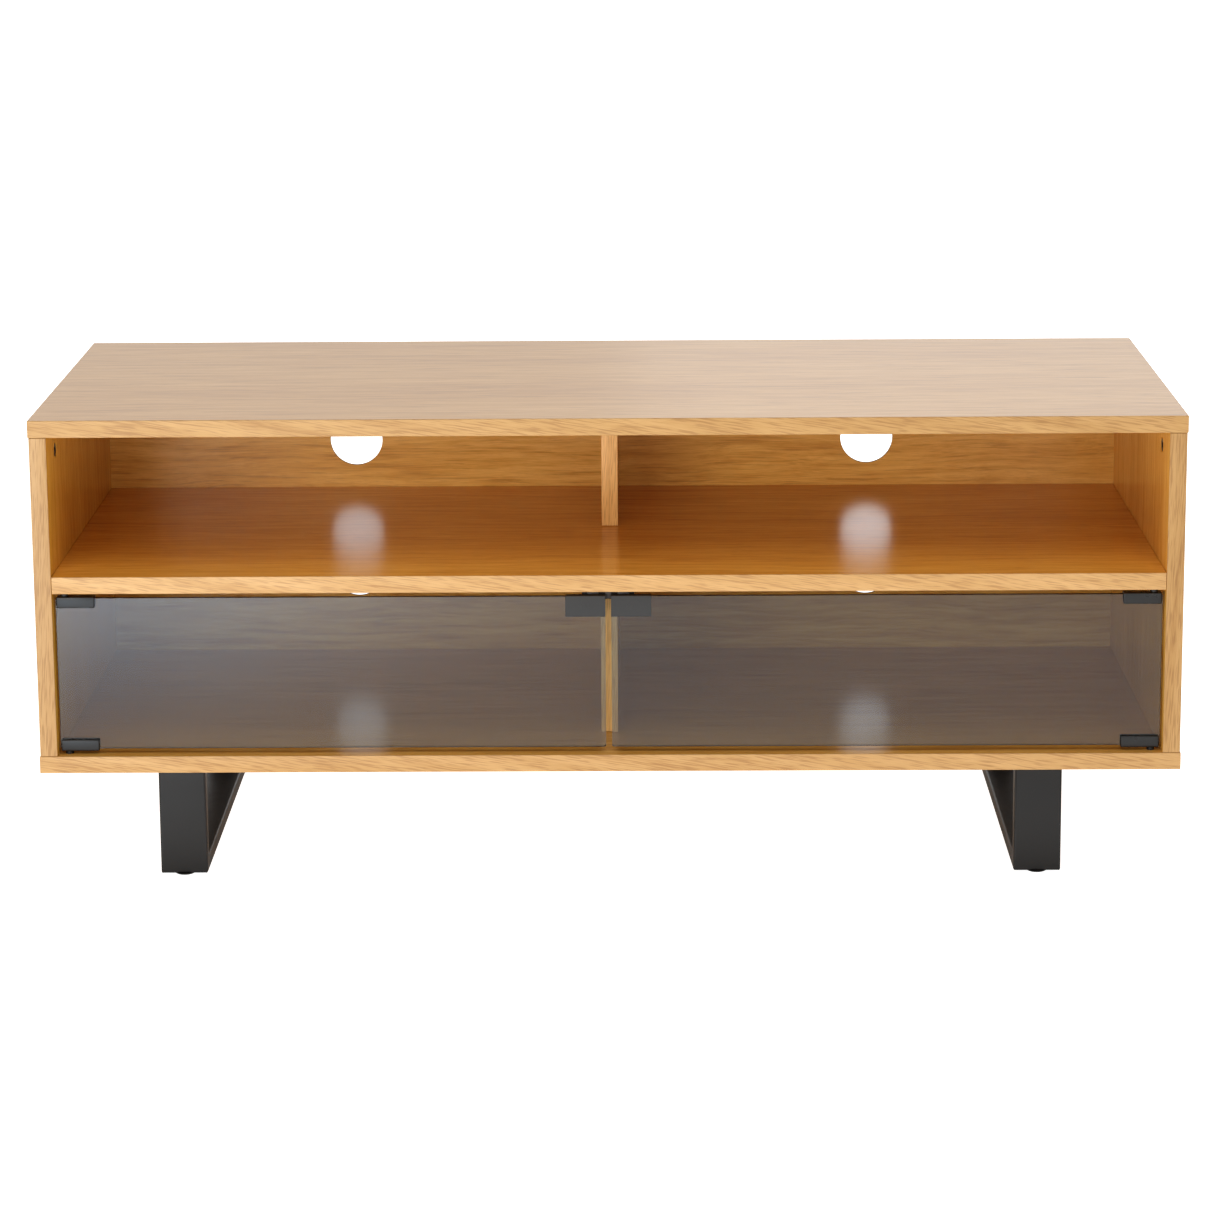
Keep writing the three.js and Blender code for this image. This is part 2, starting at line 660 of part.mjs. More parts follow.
// A welded rectangular loop, filled where the real one is thin tube, with screw and glide holes.
function legFrame() {
  const low = [LEG_FRONT, -LEG_HEIGHT];
  const high = [legBack, -GAP];
  const outline = rectangle(new THREE.Shape(), low, high);
  const loop = rectangle(new THREE.Path(), low.map((v) => v + LEG_BAR), high.map((v) => v - LEG_BAR));
  outline.holes.push(loop);
  const screwHoles = legScrewDepths.map((y) =>
    rod(LEG_SCREW_RADIUS + GAP, -LEG_BAR - PAST, PAST, FINE).translate([0, y, 0]));
  const glideOpen = -LEG_HEIGHT - PAST;
  const glideEnd = -LEG_HEIGHT + GLIDE_STEM + GAP;
  const glideHoles = glideDepths.map((y) =>
    rod(GLIDE_STEM_RADIUS + GAP, glideOpen, glideEnd, FINE).translate([0, y, 0]));
  return cut(extrudedAlongX(outline, -LEG_WIDTH / 2, LEG_WIDTH / 2), [...screwHoles, ...glideHoles]);
}

// A low dome with a small flat underside and a stem pressed into the tube.
function glide() {
  const low = -LEG_HEIGHT - GLIDE_HEIGHT;
  const high = -LEG_HEIGHT - GAP;
  const bulge = (GLIDE_RADIUS - GLIDE_FLAT_RADIUS) / 2;
  const dome = new THREE.QuadraticBezierCurve(
    new THREE.Vector2(GLIDE_FLAT_RADIUS, low),
    new THREE.Vector2(GLIDE_FLAT_RADIUS + bulge, low),
    new THREE.Vector2(GLIDE_RADIUS, high),
  );
  return turned([
    [0, low],
    ...dome.getPoints(4).map((point) => [point.x, point.y]),
    [GLIDE_STEM_RADIUS, high],
    [GLIDE_STEM_RADIUS, -LEG_HEIGHT + GLIDE_STEM],
    [0, -LEG_HEIGHT + GLIDE_STEM],
  ], ROUND);
}

function legScrew() {
  const headLow = -LEG_BAR - GAP - LEG_SCREW_HEAD;
  return turned([
    [0, headLow],
    [LEG_SCREW_HEAD_RADIUS, headLow],
    [LEG_SCREW_HEAD_RADIUS, -LEG_BAR - 2 * GAP],
    [LEG_SCREW_RADIUS, -LEG_BAR - 2 * GAP],
    [LEG_SCREW_RADIUS, LEG_SCREW_REACH],
    [0, LEG_SCREW_REACH],
  ], FINE);
}

for (const { name, sign } of SIDES) {
  const leg = new THREE.Group();
  leg.position.x = sign * LEG_X;
  carcass.add(leg);
  addPart(`${name}_leg_frame`, legFrame(), legMetal, leg);
  DEPTH_NAMES.forEach((depthName, index) => {
    const screw = addPart(`${name}_${depthName}_leg_screw`, legScrew(), zinc, leg);
    screw.position.y = legScrewDepths[index];
    const foot = addPart(`${name}_${depthName}_glide`, glide(), blackPlastic, leg);
    foot.position.y = glideDepths[index];
  });
}

export default cabinet;
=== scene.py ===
"""Media cabinet: oak-effect boards, smoked-glass doors on pivot hinges, push latch and black sled legs.

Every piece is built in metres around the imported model, whose boxes give all the places.
"""

import json
import math

import bmesh
import bpy
from mathutils import Matrix, Vector

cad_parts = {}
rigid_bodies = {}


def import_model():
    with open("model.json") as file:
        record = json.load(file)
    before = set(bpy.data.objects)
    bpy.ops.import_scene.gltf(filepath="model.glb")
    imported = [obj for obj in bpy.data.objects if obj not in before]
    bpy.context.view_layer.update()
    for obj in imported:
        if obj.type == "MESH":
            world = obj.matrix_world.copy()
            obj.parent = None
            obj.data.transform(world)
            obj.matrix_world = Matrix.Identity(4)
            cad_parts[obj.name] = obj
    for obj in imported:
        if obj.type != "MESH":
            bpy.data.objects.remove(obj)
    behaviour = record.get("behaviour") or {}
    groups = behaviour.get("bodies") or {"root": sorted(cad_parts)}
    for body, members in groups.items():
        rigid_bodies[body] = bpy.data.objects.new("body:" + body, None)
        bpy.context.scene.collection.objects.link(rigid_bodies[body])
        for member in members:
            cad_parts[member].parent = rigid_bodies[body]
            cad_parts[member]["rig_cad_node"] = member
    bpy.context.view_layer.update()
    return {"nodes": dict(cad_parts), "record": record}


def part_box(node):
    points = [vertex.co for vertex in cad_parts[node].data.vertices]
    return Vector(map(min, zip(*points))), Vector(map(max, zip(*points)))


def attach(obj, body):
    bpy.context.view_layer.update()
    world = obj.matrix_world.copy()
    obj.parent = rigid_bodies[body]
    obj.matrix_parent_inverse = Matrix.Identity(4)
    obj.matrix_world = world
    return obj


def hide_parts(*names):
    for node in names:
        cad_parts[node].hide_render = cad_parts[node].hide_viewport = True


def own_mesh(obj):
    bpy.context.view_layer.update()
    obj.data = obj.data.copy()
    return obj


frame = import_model()

MM = 0.001
SIDES = (("left", -1), ("right", 1))
DEPTHS = ("front", "rear")

# -------- camera and studio

CAMERA_PLACE = (0.0417, -3.746, 1.2238)
CAMERA_TILT_DOWN = 10.76
CAMERA_TURN_LEFT = 0.668
CAMERA_ROLL = -0.403
CAMERA_LENS = 103.3
CAMERA_SENSOR = 36
CAMERA_SHIFT = -0.1977
# Each softbox's name, place, target, size and power.
SOFTBOXES = (
    ("key_softbox", (-1.8, -4.2, 0.9), (0, 0, 0.3), (2.2, 1.4), 46),
    ("fill_softbox", (1.8, -4.2, 0.9), (0, 0, 0.3), (2.2, 1.4), 16),
    ("top_softbox", (0.0, -1.6, 2.8), (0, 0, 0.3), (2.6, 1.6), 28),
    ("back_left_softbox", (-1.5, 3.4, 1.3), (-1.5, 0, 0.3), (3.0, 2.0), 17),
    ("back_right_softbox", (1.5, 3.4, 1.3), (1.5, 0, 0.3), (3.0, 2.0), 24),
)
WORLD_LIGHT = 0.25
WORLD_SEEN = 1.0
FLOOR_HALF = 14
FLOOR_LIGHT = 0.85
FLOOR_DIM_AHEAD_RIGHT = 0.30
FLOOR_SHADE_UNDER = 0.85
GLOW_PLACE = (-0.95, -1.65, 0)
GLOW_REACH = 1.25
GLOW_COLOUR = (1.4, 1.9, 2.4)

# -------- making sizes

# How far a cutting solid reaches past the face it opens.
PAST = 1 * MM
# The model's gap between neighbouring parts.
SLACK = 0.3 * MM
# Closer than this counts as on the same plane.
NEAR = 1e-6
HOLE_SEGMENTS = 64

SLANT = math.radians(9)
EDGING = 0.8 * MM
EDGING_ROUND = 0.6 * MM
BOARD_ROUND = 0.15 * MM
BACK_WORN = 0.3 * MM
BACK_CUT = 8 * MM
CABLE_HOLE_RADIUS = 30 * MM

CAM_SEAT = 12.8 * MM
CAM_RIM = 0.5 * MM
CAM_FACE_SUNK = 0.25 * MM
CAM_SLOT_REACH = 3.8 * MM
CAM_SLOT_HALF = 1.1 * MM
CAM_SLOT_DEPTH = 3 * MM
BUSH_SEAT = 9 * MM
BASE_SCREW_SEAT = 4 * MM
# Each kind of screw's head height, socket size and drive.
BASE_SCREW = (4 * MM, 2.3 * MM, "hex")
LEG_SCREW = (3 * MM, 2.9 * MM, "hex")
LATCH_SCREW = (2 * MM, 2.2 * MM, "cross")
HEAD_CHAMFER_SHARE = 0.18
SOCKET_DEPTH_SHARE = 0.7
SHANK_SHARE = 0.5
THREAD_DEPTH_SHARE = 0.22
THREAD_PITCH = 2.4 * MM

PANE_CORNER = 1.5 * MM
PANE_ARRIS = 0.8 * MM
CLIP_ROUND = 1.1 * MM
CLIP_EDGE = 0.18 * MM
GRUB_SUNK = 0.35 * MM
GRUB_SOCKET = 1.25 * MM
GRUB_PLAY = 0.15 * MM
GRUB_HOLE_DEPTH = 6 * MM
# The hole's mouth: how much wider than the screw, and how deep.
GRUB_MOUTH = (0.9 * MM, 0.8 * MM)
PAD_INSET = 0.8 * MM
PAD_SHORT = 0.6 * MM
# A pad's two faces, as distances from the pane.
PAD_FACES = (0.02 * MM, 0.28 * MM)
PAD_ROUND = 0.05 * MM
PIN_POINT = 0.8 * MM
PIN_RIM = 0.3 * MM
PIN_PLAY = 0.12 * MM
BUSH_FOOT = 0.5 * MM
BUSH_RIM = 0.4 * MM
BUSH_FLOOR = 1 * MM
STRIKE_BEND = 0.9 * MM
STRIKE_EDGE = 0.12 * MM
RIB_SPACING = 4 * MM
RIB_HALF = (0.5 * MM, 2.2 * MM)
RIB_ROUND = 0.1 * MM

LATCH_ROUND = 0.9 * MM
LATCH_EDGE = 0.15 * MM
LATCH_BORE_ROUND = 0.8 * MM
LATCH_GROOVE_HALF = 1.5 * MM
LATCH_GROOVE_DEPTH = 0.6 * MM
LATCH_GROOVE_STOP = 6 * MM
LATCH_SCREW_SEAT = 3 * MM
STRIP_HALF = 3.2 * MM
STRIP_INSET = 0.9 * MM
STRIP_ROUND = 0.25 * MM
PLUNGER_ROUND = 0.7 * MM
MAGNET_INSET = 1.6 * MM
MAGNET_ROUND = 0.2 * MM
# The inlays' fronts and backs, measured back from the face they are set in.
RIB_FACES = (-0.12 * MM, 0.1 * MM)
STRIP_FACES = (-0.15 * MM, 2 * MM)
MAGNET_FACES = (-0.05 * MM, 2 * MM)
SPRING_WIRE = 0.4 * MM
SPRING_TURNS = 8

LEG_BAR = 15 * MM
LEG_ROUND = 2.2 * MM
LEG_CORNER = 1.2 * MM
GLIDE_STEM_RADIUS = 3 * MM
GLIDE_FLAT_SHARE = 0.4
GLIDE_DOME_SHARE = 0.85


# -------- small helpers


def inside_x(node):
    """The x of a side panel's inner face, as a positive number."""
    low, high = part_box(node)
    return min(abs(low.x), abs(high.x))


def round_box(node, axis=0):
    """A round node's lowest and highest corners, its centre, and its radius measured along an axis."""
    low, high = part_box(node)
    return low, high, (low + high) / 2, (high[axis] - low[axis]) / 2


def new_object(name, bm, materials, body, replaced=(), smooth=None):
    """Makes an object from a bmesh, and declares its body, slot and replaced nodes."""
    bmesh.ops.recalc_face_normals(bm, faces=bm.faces)
    mesh = bpy.data.meshes.new(name)
    bm.to_mesh(mesh)
    bm.free()
    for material in materials if isinstance(materials, (list, tuple)) else [materials]:
        mesh.materials.append(material)
    obj = bpy.data.objects.new(name, mesh)
    bpy.context.scene.collection.objects.link(obj)
    if smooth is not None:
        shade_smooth(obj, smooth)
    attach(obj, body)
    if replaced:
        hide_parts(*replaced)
    return obj


def shade_smooth(obj, angle):
    """Smooth shading, with edges sharper than the angle (degrees) kept sharp."""
    mesh = obj.data
    mesh.polygons.foreach_set("use_smooth", [True] * len(mesh.polygons))
    mesh.set_sharp_from_angle(angle=math.radians(angle))


def ease_edges(obj, width, angle=50, smooth=35):
    """Rounds the edges that are sharper than an angle (degrees) by a small width, with smooth shading."""
    bevel = obj.modifiers.new("eased edges", "BEVEL")
    bevel.width, bevel.segments = width, 2
    bevel.limit_method, bevel.angle_limit = "ANGLE", math.radians(angle)
    shade_smooth(obj, smooth)


def add_box(bm, low, high, rounding=0.0, segments=2):
    """Adds a box with rounded edges to a bmesh."""
    low, high = Vector(low), Vector(high)
    made = bmesh.ops.create_cube(bm, size=1.0)
    size = high - low
    centre = (high + low) / 2
    for vertex in made["verts"]:
        vertex.co = Vector(a * b for a, b in zip(vertex.co, size)) + centre
    edges = list({edge for vertex in made["verts"] for edge in vertex.link_edges})
    if rounding > 0:
        bmesh.ops.bevel(bm, geom=edges, offset=rounding, segments=segments, affect="EDGES",
                        profile=0.5, clamp_overlap=True)


def add_lathe(bm, profile, matrix, segments=48):
    """Adds a solid turned about local Z, from (radius, height) points that start and end at radius 0."""
    rings = []
    for radius, height in profile:
        if radius < NEAR:
            rings.append([bm.verts.new(matrix @ Vector((0, 0, height)))])
            continue
        ring = []
        for step in range(segments):
            angle = 2 * math.pi * step / segments
            place = Vector((radius * math.cos(angle), radius * math.sin(angle), height))
            ring.append(bm.verts.new(matrix @ place))
        rings.append(ring)
    for first, second in zip(rings, rings[1:]):
        for step in range(segments):
            following = (step + 1) % segments
            corners = [first[step % len(first)], first[following % len(first)]]
            corners += [second[following % len(second)], second[step % len(second)]]
            unique = list(dict.fromkeys(corners))
            if len(unique) > 2:
                bm.faces.new(unique)


def along(axis, place):
    """A matrix that puts local Z along an axis ('X', 'Y', 'Z', or with a minus sign) at a place."""
    turns = {
        "X": Matrix.Rotation(math.pi / 2, 4, "Y"),
        "-X": Matrix.Rotation(-math.pi / 2, 4, "Y"),
        "Y": Matrix.Rotation(-math.pi / 2, 4, "X"),
        "-Y": Matrix.Rotation(math.pi / 2, 4, "X"),
        "Z": Matrix.Identity(4),
        "-Z": Matrix.Rotation(math.pi, 4, "X"),
    }
    return Matrix.Translation(place) @ turns[axis]


def add_band(bm, first, second):
    """Joins two rings of vertices with faces."""
    for corners in zip(first, first[1:] + first[:1], second[1:] + second[:1], second):
        bm.faces.new(corners)


def add_prism(bm, outline, depth, matrix):
    """Adds an outline in local XY, pushed out along local Z by depth."""
    bottom = [bm.verts.new(matrix @ Vector((x, y, 0))) for x, y in outline]
    top = [bm.verts.new(matrix @ Vector((x, y, depth))) for x, y in outline]
    bm.faces.new(bottom[::-1])
    bm.faces.new(top)
    add_band(bm, bottom, top)


def rounded_outline(low, high, radius, steps=6):
    """A rectangle with round corners, as points in order."""
    points = []
    corners = (
        (high[0] - radius, high[1] - radius, 0),
        (low[0] + radius, high[1] - radius, 90),
        (low[0] + radius, low[1] + radius, 180),
        (high[0] - radius, low[1] + radius, 270),
    )
    for x, y, start in corners:
        for step in range(steps + 1):
            angle = math.radians(start + 90 * step / steps)
            points.append((x + radius * math.cos(angle), y + radius * math.sin(angle)))
    return points


def polygon_outline(sides, radius):
    """A regular polygon's points."""
    angles = [2 * math.pi * step / sides for step in range(sides)]
    return [(radius * math.cos(angle), radius * math.sin(angle)) for angle in angles]


def add_cross(bm, reach, half, rounding, depth, matrix, turn=0):
    """Adds a cutting solid with a cross outline, which reaches past the face at the matrix."""
    outline = rounded_outline((-reach, -half), (reach, half), rounding, 3)
    for angle in (turn, turn + 90):
        spin = Matrix.Rotation(math.radians(angle), 4, "Z")
        add_prism(bm, outline, depth + PAST, matrix @ spin @ Matrix.Translation((0, 0, -PAST)))


def cut_with(obj, tool_bm):
    """Cuts the solids in tool_bm out of the object for good."""
    bmesh.ops.recalc_face_normals(tool_bm, faces=tool_bm.faces)
    mesh = bpy.data.meshes.new("tool")
    tool_bm.to_mesh(mesh)
    tool_bm.free()
    for material in obj.data.materials:
        mesh.materials.append(material)
    tool = bpy.data.objects.new("tool", mesh)
    bpy.context.scene.collection.objects.link(tool)
    modifier = obj.modifiers.new("cut", "BOOLEAN")
    modifier.operation = "DIFFERENCE"
    modifier.solver = "EXACT"
    modifier.use_self = True
    modifier.object = tool
    bpy.context.view_layer.update()
    evaluated = obj.evaluated_get(bpy.context.evaluated_depsgraph_get())
    result = bpy.data.meshes.new_from_object(evaluated)
    if not result.polygons:
        raise RuntimeError(f"nothing is left of {obj.name} after its cut")
    obj.modifiers.clear()
    old = obj.data
    obj.data = result
    bpy.data.meshes.remove(old)
    bpy.data.objects.remove(tool)
    bpy.data.meshes.remove(mesh)


# -------- materials


class Nodes:
    """A material's node tree, with one short call per node."""

    def __init__(self, name):
        self.material = bpy.data.materials.new(name)
        self.material.use_nodes = True
        self.tree = self.material.node_tree
        self.tree.nodes.clear()
        self.output = self.tree.nodes.new("ShaderNodeOutputMaterial")

    def node(self, kind, inputs=None, **settings):
        made = self.tree.nodes.new(kind)
        for key, value in settings.items():
            setattr(made, key, value)
        for key, value in (inputs or {}).items():
            self.feed(made.inputs[key], value)
        return made

    def feed(self, socket, value):
        if isinstance(value, bpy.types.NodeSocket):
            self.tree.links.new(value, socket)
        else:
            socket.default_value = value

    def place(self):
        return self.node("ShaderNodeTexCoord").outputs["Object"]

    def mapped(self, vector, scale, turn=(0, 0, 0), move=(0, 0, 0)):
        inputs = {"Vector": vector, "Location": move, "Rotation": turn, "Scale": scale}
        return self.node("ShaderNodeMapping", inputs).outputs["Vector"]

    def noise(self, vector, scale=1.0, detail=2.0, roughness=0.5, distortion=0.0):
        inputs = {"Vector": vector, "Scale": scale, "Detail": detail}
        inputs.update({"Roughness": roughness, "Distortion": distortion})
        return self.node("ShaderNodeTexNoise", inputs).outputs["Fac"]

    def math(self, operation, first, second=0.0, clamp=False):
        inputs = {0: first, 1: second}
        return self.node("ShaderNodeMath", inputs, operation=operation, use_clamp=clamp).outputs[0]

    def span(self, value, low, high, to_low=0.0, to_high=1.0):
        inputs = {"Value": value, "From Min": low, "From Max": high, "To Min": to_low, "To Max": to_high}
        return self.node("ShaderNodeMapRange", inputs).outputs["Result"]

    def ramp(self, value, stops):
        made = self.node("ShaderNodeValToRGB", {"Fac": value})
        elements = made.color_ramp.elements
        while len(elements) < len(stops):
            elements.new(0.5)
        for element, (position, color) in zip(elements, stops):
            element.position = position
            element.color = (*color, 1.0)
        return made.outputs["Color"]

    def mix(self, factor, first, second, blend="MIX"):
        made = self.node("ShaderNodeMix", data_type="RGBA", blend_type=blend)
        self.feed(made.inputs[0], factor)
        self.feed(made.inputs[6], first)
        self.feed(made.inputs[7], second)
        return made.outputs[2]

    def bump(self, height, strength, distance):
        inputs = {"Height": height, "Strength": strength, "Distance": distance}
        return self.node("ShaderNodeBump", inputs).outputs["Normal"]

    def shaded(self, colour, shade):
        """A colour times a grey shade that varies over the surface."""
        grey = self.node("ShaderNodeCombineColor", {0: shade, 1: shade, 2: shade}).outputs[0]
        return self.mix(1.0, (*colour, 1), grey, blend="MULTIPLY")

    def shader(self, **inputs):
        named = {key.replace("_", " "): value for key, value in inputs.items()}
        made = self.node("ShaderNodeBsdfPrincipled", named)
        self.tree.links.new(made.outputs[0], self.output.inputs["Surface"])
        return made


# The turn that brings each grain direction to X before the texture is stretched.
GRAIN_TURNS = {
    "X": (0, 0, 0),
    "Y": (0, 0, math.radians(-90)),
    "Z": (0, math.radians(90), 0),
}


def tinted(colours, tint):
    """Each colour of a palette times the tint."""
    return [tuple(value * part for value, part in zip(colour, tint)) for colour in colours]


def waved(n, vector, scale, reach):
    """The vector pushed a little across the grain, so that straight lines wander."""
    sway = n.noise(n.mapped(vector, scale), detail=2)
    offset = n.node("ShaderNodeCombineXYZ", {"X": 0.0, "Y": sway, "Z": sway}).outputs[0]
    scaled = n.node("ShaderNodeVectorMath", {0: offset, "Scale": reach}, operation="SCALE").outputs[0]
    return n.node("ShaderNodeVectorMath", {0: vector, 1: scaled}, operation="ADD").outputs[0]


def weighted(n, *parts):
    """The sum of (value, weight) pairs."""
    total = n.math("MULTIPLY", *parts[0])
    for value, weight in parts[1:]:
        total = n.math("ADD", total, n.math("MULTIPLY", value, weight))
    return total


def oak(name, grain, seed, tint=(1, 1, 1), roughness=0.2, contrast=1.0):
    """Oak-effect melamine: growth lines at every width, dark strokes and short pores along the grain."""
    n = Nodes(name)
    turned = n.mapped(n.place(), (1, 1, 1), turn=GRAIN_TURNS[grain])
    moved = n.mapped(turned, (1, 1, 1), move=(seed * 1.37, seed * 0.71, seed * 0.53))
    wavy = waved(n, moved, (4, 14, 14), 0.022)
    tone = n.noise(n.mapped(wavy, (0.9, 14, 14)), detail=3, roughness=0.55)
    lines = n.noise(n.mapped(wavy, (7, 120, 120)), detail=5, roughness=0.72)
    strokes = n.noise(n.mapped(wavy, (14, 430, 430)), detail=2, roughness=0.5)
    fibre = n.noise(n.mapped(wavy, (40, 1300, 1300)), detail=2, roughness=0.6)
    pores = n.noise(n.mapped(wavy, (70, 1500, 1500)), detail=1)
    pore = n.math("MULTIPLY", n.span(pores, 0.58, 0.70), n.span(lines, 0.42, 0.62))
    stroke = n.math("MULTIPLY", n.span(strokes, 0.46, 0.34), n.span(lines, 0.60, 0.46))
    blend = weighted(n, (tone, 0.26), (lines, 0.54), (fibre, 0.20))
    blend = n.span(blend, 0.5 - 0.15 / contrast, 0.5 + 0.15 / contrast)
    light, middle, dark = tinted(((0.735, 0.430, 0.158), (0.640, 0.345, 0.105), (0.510, 0.240, 0.064)), tint)
    deep = tinted(((0.400, 0.175, 0.048),), tint)[0]
    colour = n.ramp(blend, ((0.0, dark), (0.5, middle), (1.0, light)))
    colour = n.mix(n.math("MULTIPLY", stroke, 0.38 * contrast), colour, (*deep, 1))
    colour = n.mix(n.math("MULTIPLY", pore, 0.30), colour, (*deep, 1))
    height = n.math("SUBTRACT", n.math("MULTIPLY", fibre, 0.5), pore)
    rough = n.math("ADD", n.math("MULTIPLY", fibre, 0.12), roughness - 0.06)
    normal = n.bump(height, 0.22, 0.06 * MM)
    n.shader(Base_Color=colour, Roughness=rough, Normal=normal, IOR=1.5)
    return n.material


def edge_oak(name, grain, slant, seed, tint=(1, 1, 1)):
    """Edge banding: a paler print with long, thin, faint dashes that slope a little."""
    n = Nodes(name)
    turned = n.mapped(n.place(), (1, 1, 1), turn=GRAIN_TURNS[grain])
    slanted = n.mapped(turned, (1, 1, 1), turn=(0, -slant, 0), move=(seed * 0.83, seed * 0.37, seed * 0.59))
    wavy = waved(n, slanted, (9, 30, 30), 0.0035)
    tone = n.noise(n.mapped(wavy, (4, 70, 70)), detail=3)
    dashes = n.noise(n.mapped(wavy, (42, 850, 850)), detail=1, roughness=0.4)
    fibre = n.noise(n.mapped(wavy, (60, 1200, 1200)), detail=2)
    blend = n.span(weighted(n, (tone, 0.5), (fibre, 0.3), (dashes, 0.2)), 0.36, 0.64)
    light, middle, dark = tinted(((0.720, 0.450, 0.205), (0.640, 0.385, 0.158), (0.540, 0.300, 0.110)), tint)
    dash_colour = tinted(((0.400, 0.205, 0.075),), tint)[0]
    colour = n.ramp(blend, ((0.0, dark), (0.42, middle), (1.0, light)))
    dash = n.span(dashes, 0.48, 0.36)
    colour = n.mix(n.math("MULTIPLY", dash, 0.50), colour, (*dash_colour, 1))
    rough = n.math("ADD", n.math("MULTIPLY", fibre, 0.12), 0.34)
    normal = n.bump(dashes, 0.15, 0.05 * MM)
    n.shader(Base_Color=colour, Roughness=rough, Normal=normal, IOR=1.5)
    return n.material


def fibreboard(name):
    """The unfaced rear of the thin back panel: pale brown, matted fibres."""
    n = Nodes(name)
    place = n.place()
    flecks = n.noise(n.mapped(place, (900, 900, 900)), detail=4, roughness=0.7)
    clouds = n.noise(n.mapped(place, (14, 14, 14)), detail=3)
    blend = weighted(n, (flecks, 0.65), (clouds, 0.35))
    colour = n.ramp(blend, ((0.35, (0.26, 0.155, 0.08)), (0.65, (0.42, 0.27, 0.15))))
    n.shader(Base_Color=colour, Roughness=0.8, Normal=n.bump(flecks, 0.3, 0.1 * MM))
    return n.material


def smoked_glass(name):
    """Smoked glass that lets lamps through, so that what is behind it is lit."""
    n = Nodes(name)
    tint = (0.50, 0.545, 0.575)
    streaks = n.noise(n.mapped(n.place(), (2, 2, 9)), detail=2)
    thin, thick = (tuple(value * share for value in tint) for share in (0.985, 1.015))
    colour = n.ramp(streaks, ((0.35, thin), (0.65, thick)))
    settings = {"Base Color": colour, "Transmission Weight": 1.0, "IOR": 1.5, "Roughness": 0.0}
    glass = n.node("ShaderNodeBsdfPrincipled", settings)
    clear = n.node("ShaderNodeBsdfTransparent", {"Color": (*[math.sqrt(value) for value in tint], 1)})
    lamp = n.node("ShaderNodeLightPath").outputs["Is Shadow Ray"]
    both = n.node("ShaderNodeMixShader", {0: lamp, 1: glass.outputs[0], 2: clear.outputs[0]})
    n.tree.links.new(both.outputs[0], n.output.inputs["Surface"])
    return n.material


def ground_glass(name):
    """The panes' ground edges, dark because light that reaches them has crossed so much tinted glass."""
    n = Nodes(name)
    grit = n.noise(n.mapped(n.place(), (700, 700, 2200)), detail=3)
    colour = n.ramp(grit, ((0.35, (0.016, 0.015, 0.013)), (0.65, (0.034, 0.031, 0.027))))
    n.shader(Base_Color=colour, Roughness=n.span(grit, 0.35, 0.65, 0.28, 0.42), IOR=1.5)
    return n.material


def coated_metal(name, colour, roughness, grain=1600, depth=0.02):
    """Powder or satin coat: a fine orange-peel surface with faint wear in its gloss."""
    n = Nodes(name)
    place = n.place()
    peel = n.noise(n.mapped(place, (grain, grain, grain)), detail=2)
    rub = n.noise(n.mapped(place, (35, 35, 35)), detail=4, roughness=0.65)
    base = n.shaded(colour, n.span(rub, 0.35, 0.7, 0.94, 1.08))
    rough = n.span(rub, 0.35, 0.7, roughness - 0.03, roughness + 0.04)
    n.shader(Base_Color=base, Roughness=rough, Normal=n.bump(peel, 0.25, depth * MM), IOR=1.5)
    return n.material


def plated(name, colour, roughness):
    """Bright zinc plating with a fine rolled texture."""
    n = Nodes(name)
    cloud = n.noise(n.mapped(n.place(), (260, 260, 260)), detail=3)
    base = n.shaded(colour, n.span(cloud, 0.35, 0.65, 0.85, 1.1))
    rough = n.span(cloud, 0.35, 0.65, roughness - 0.06, roughness + 0.08)
    n.shader(Base_Color=base, Metallic=1.0, Roughness=rough, Normal=n.bump(cloud, 0.1, 0.02 * MM))
    return n.material


def moulded(name, colour, roughness):
    """Moulded plastic with a fine spark-eroded texture."""
    n = Nodes(name)
    place = n.place()
    texture = n.noise(n.mapped(place, (2600, 2600, 2600)), detail=2)
    wear = n.noise(n.mapped(place, (60, 60, 60)), detail=3)
    base = n.shaded(colour, n.span(wear, 0.35, 0.65, 0.92, 1.1))
    rough = n.span(wear, 0.35, 0.65, roughness - 0.05, roughness + 0.05)
    n.shader(Base_Color=base, Roughness=rough, Normal=n.bump(texture, 0.3, 0.03 * MM))
    return n.material


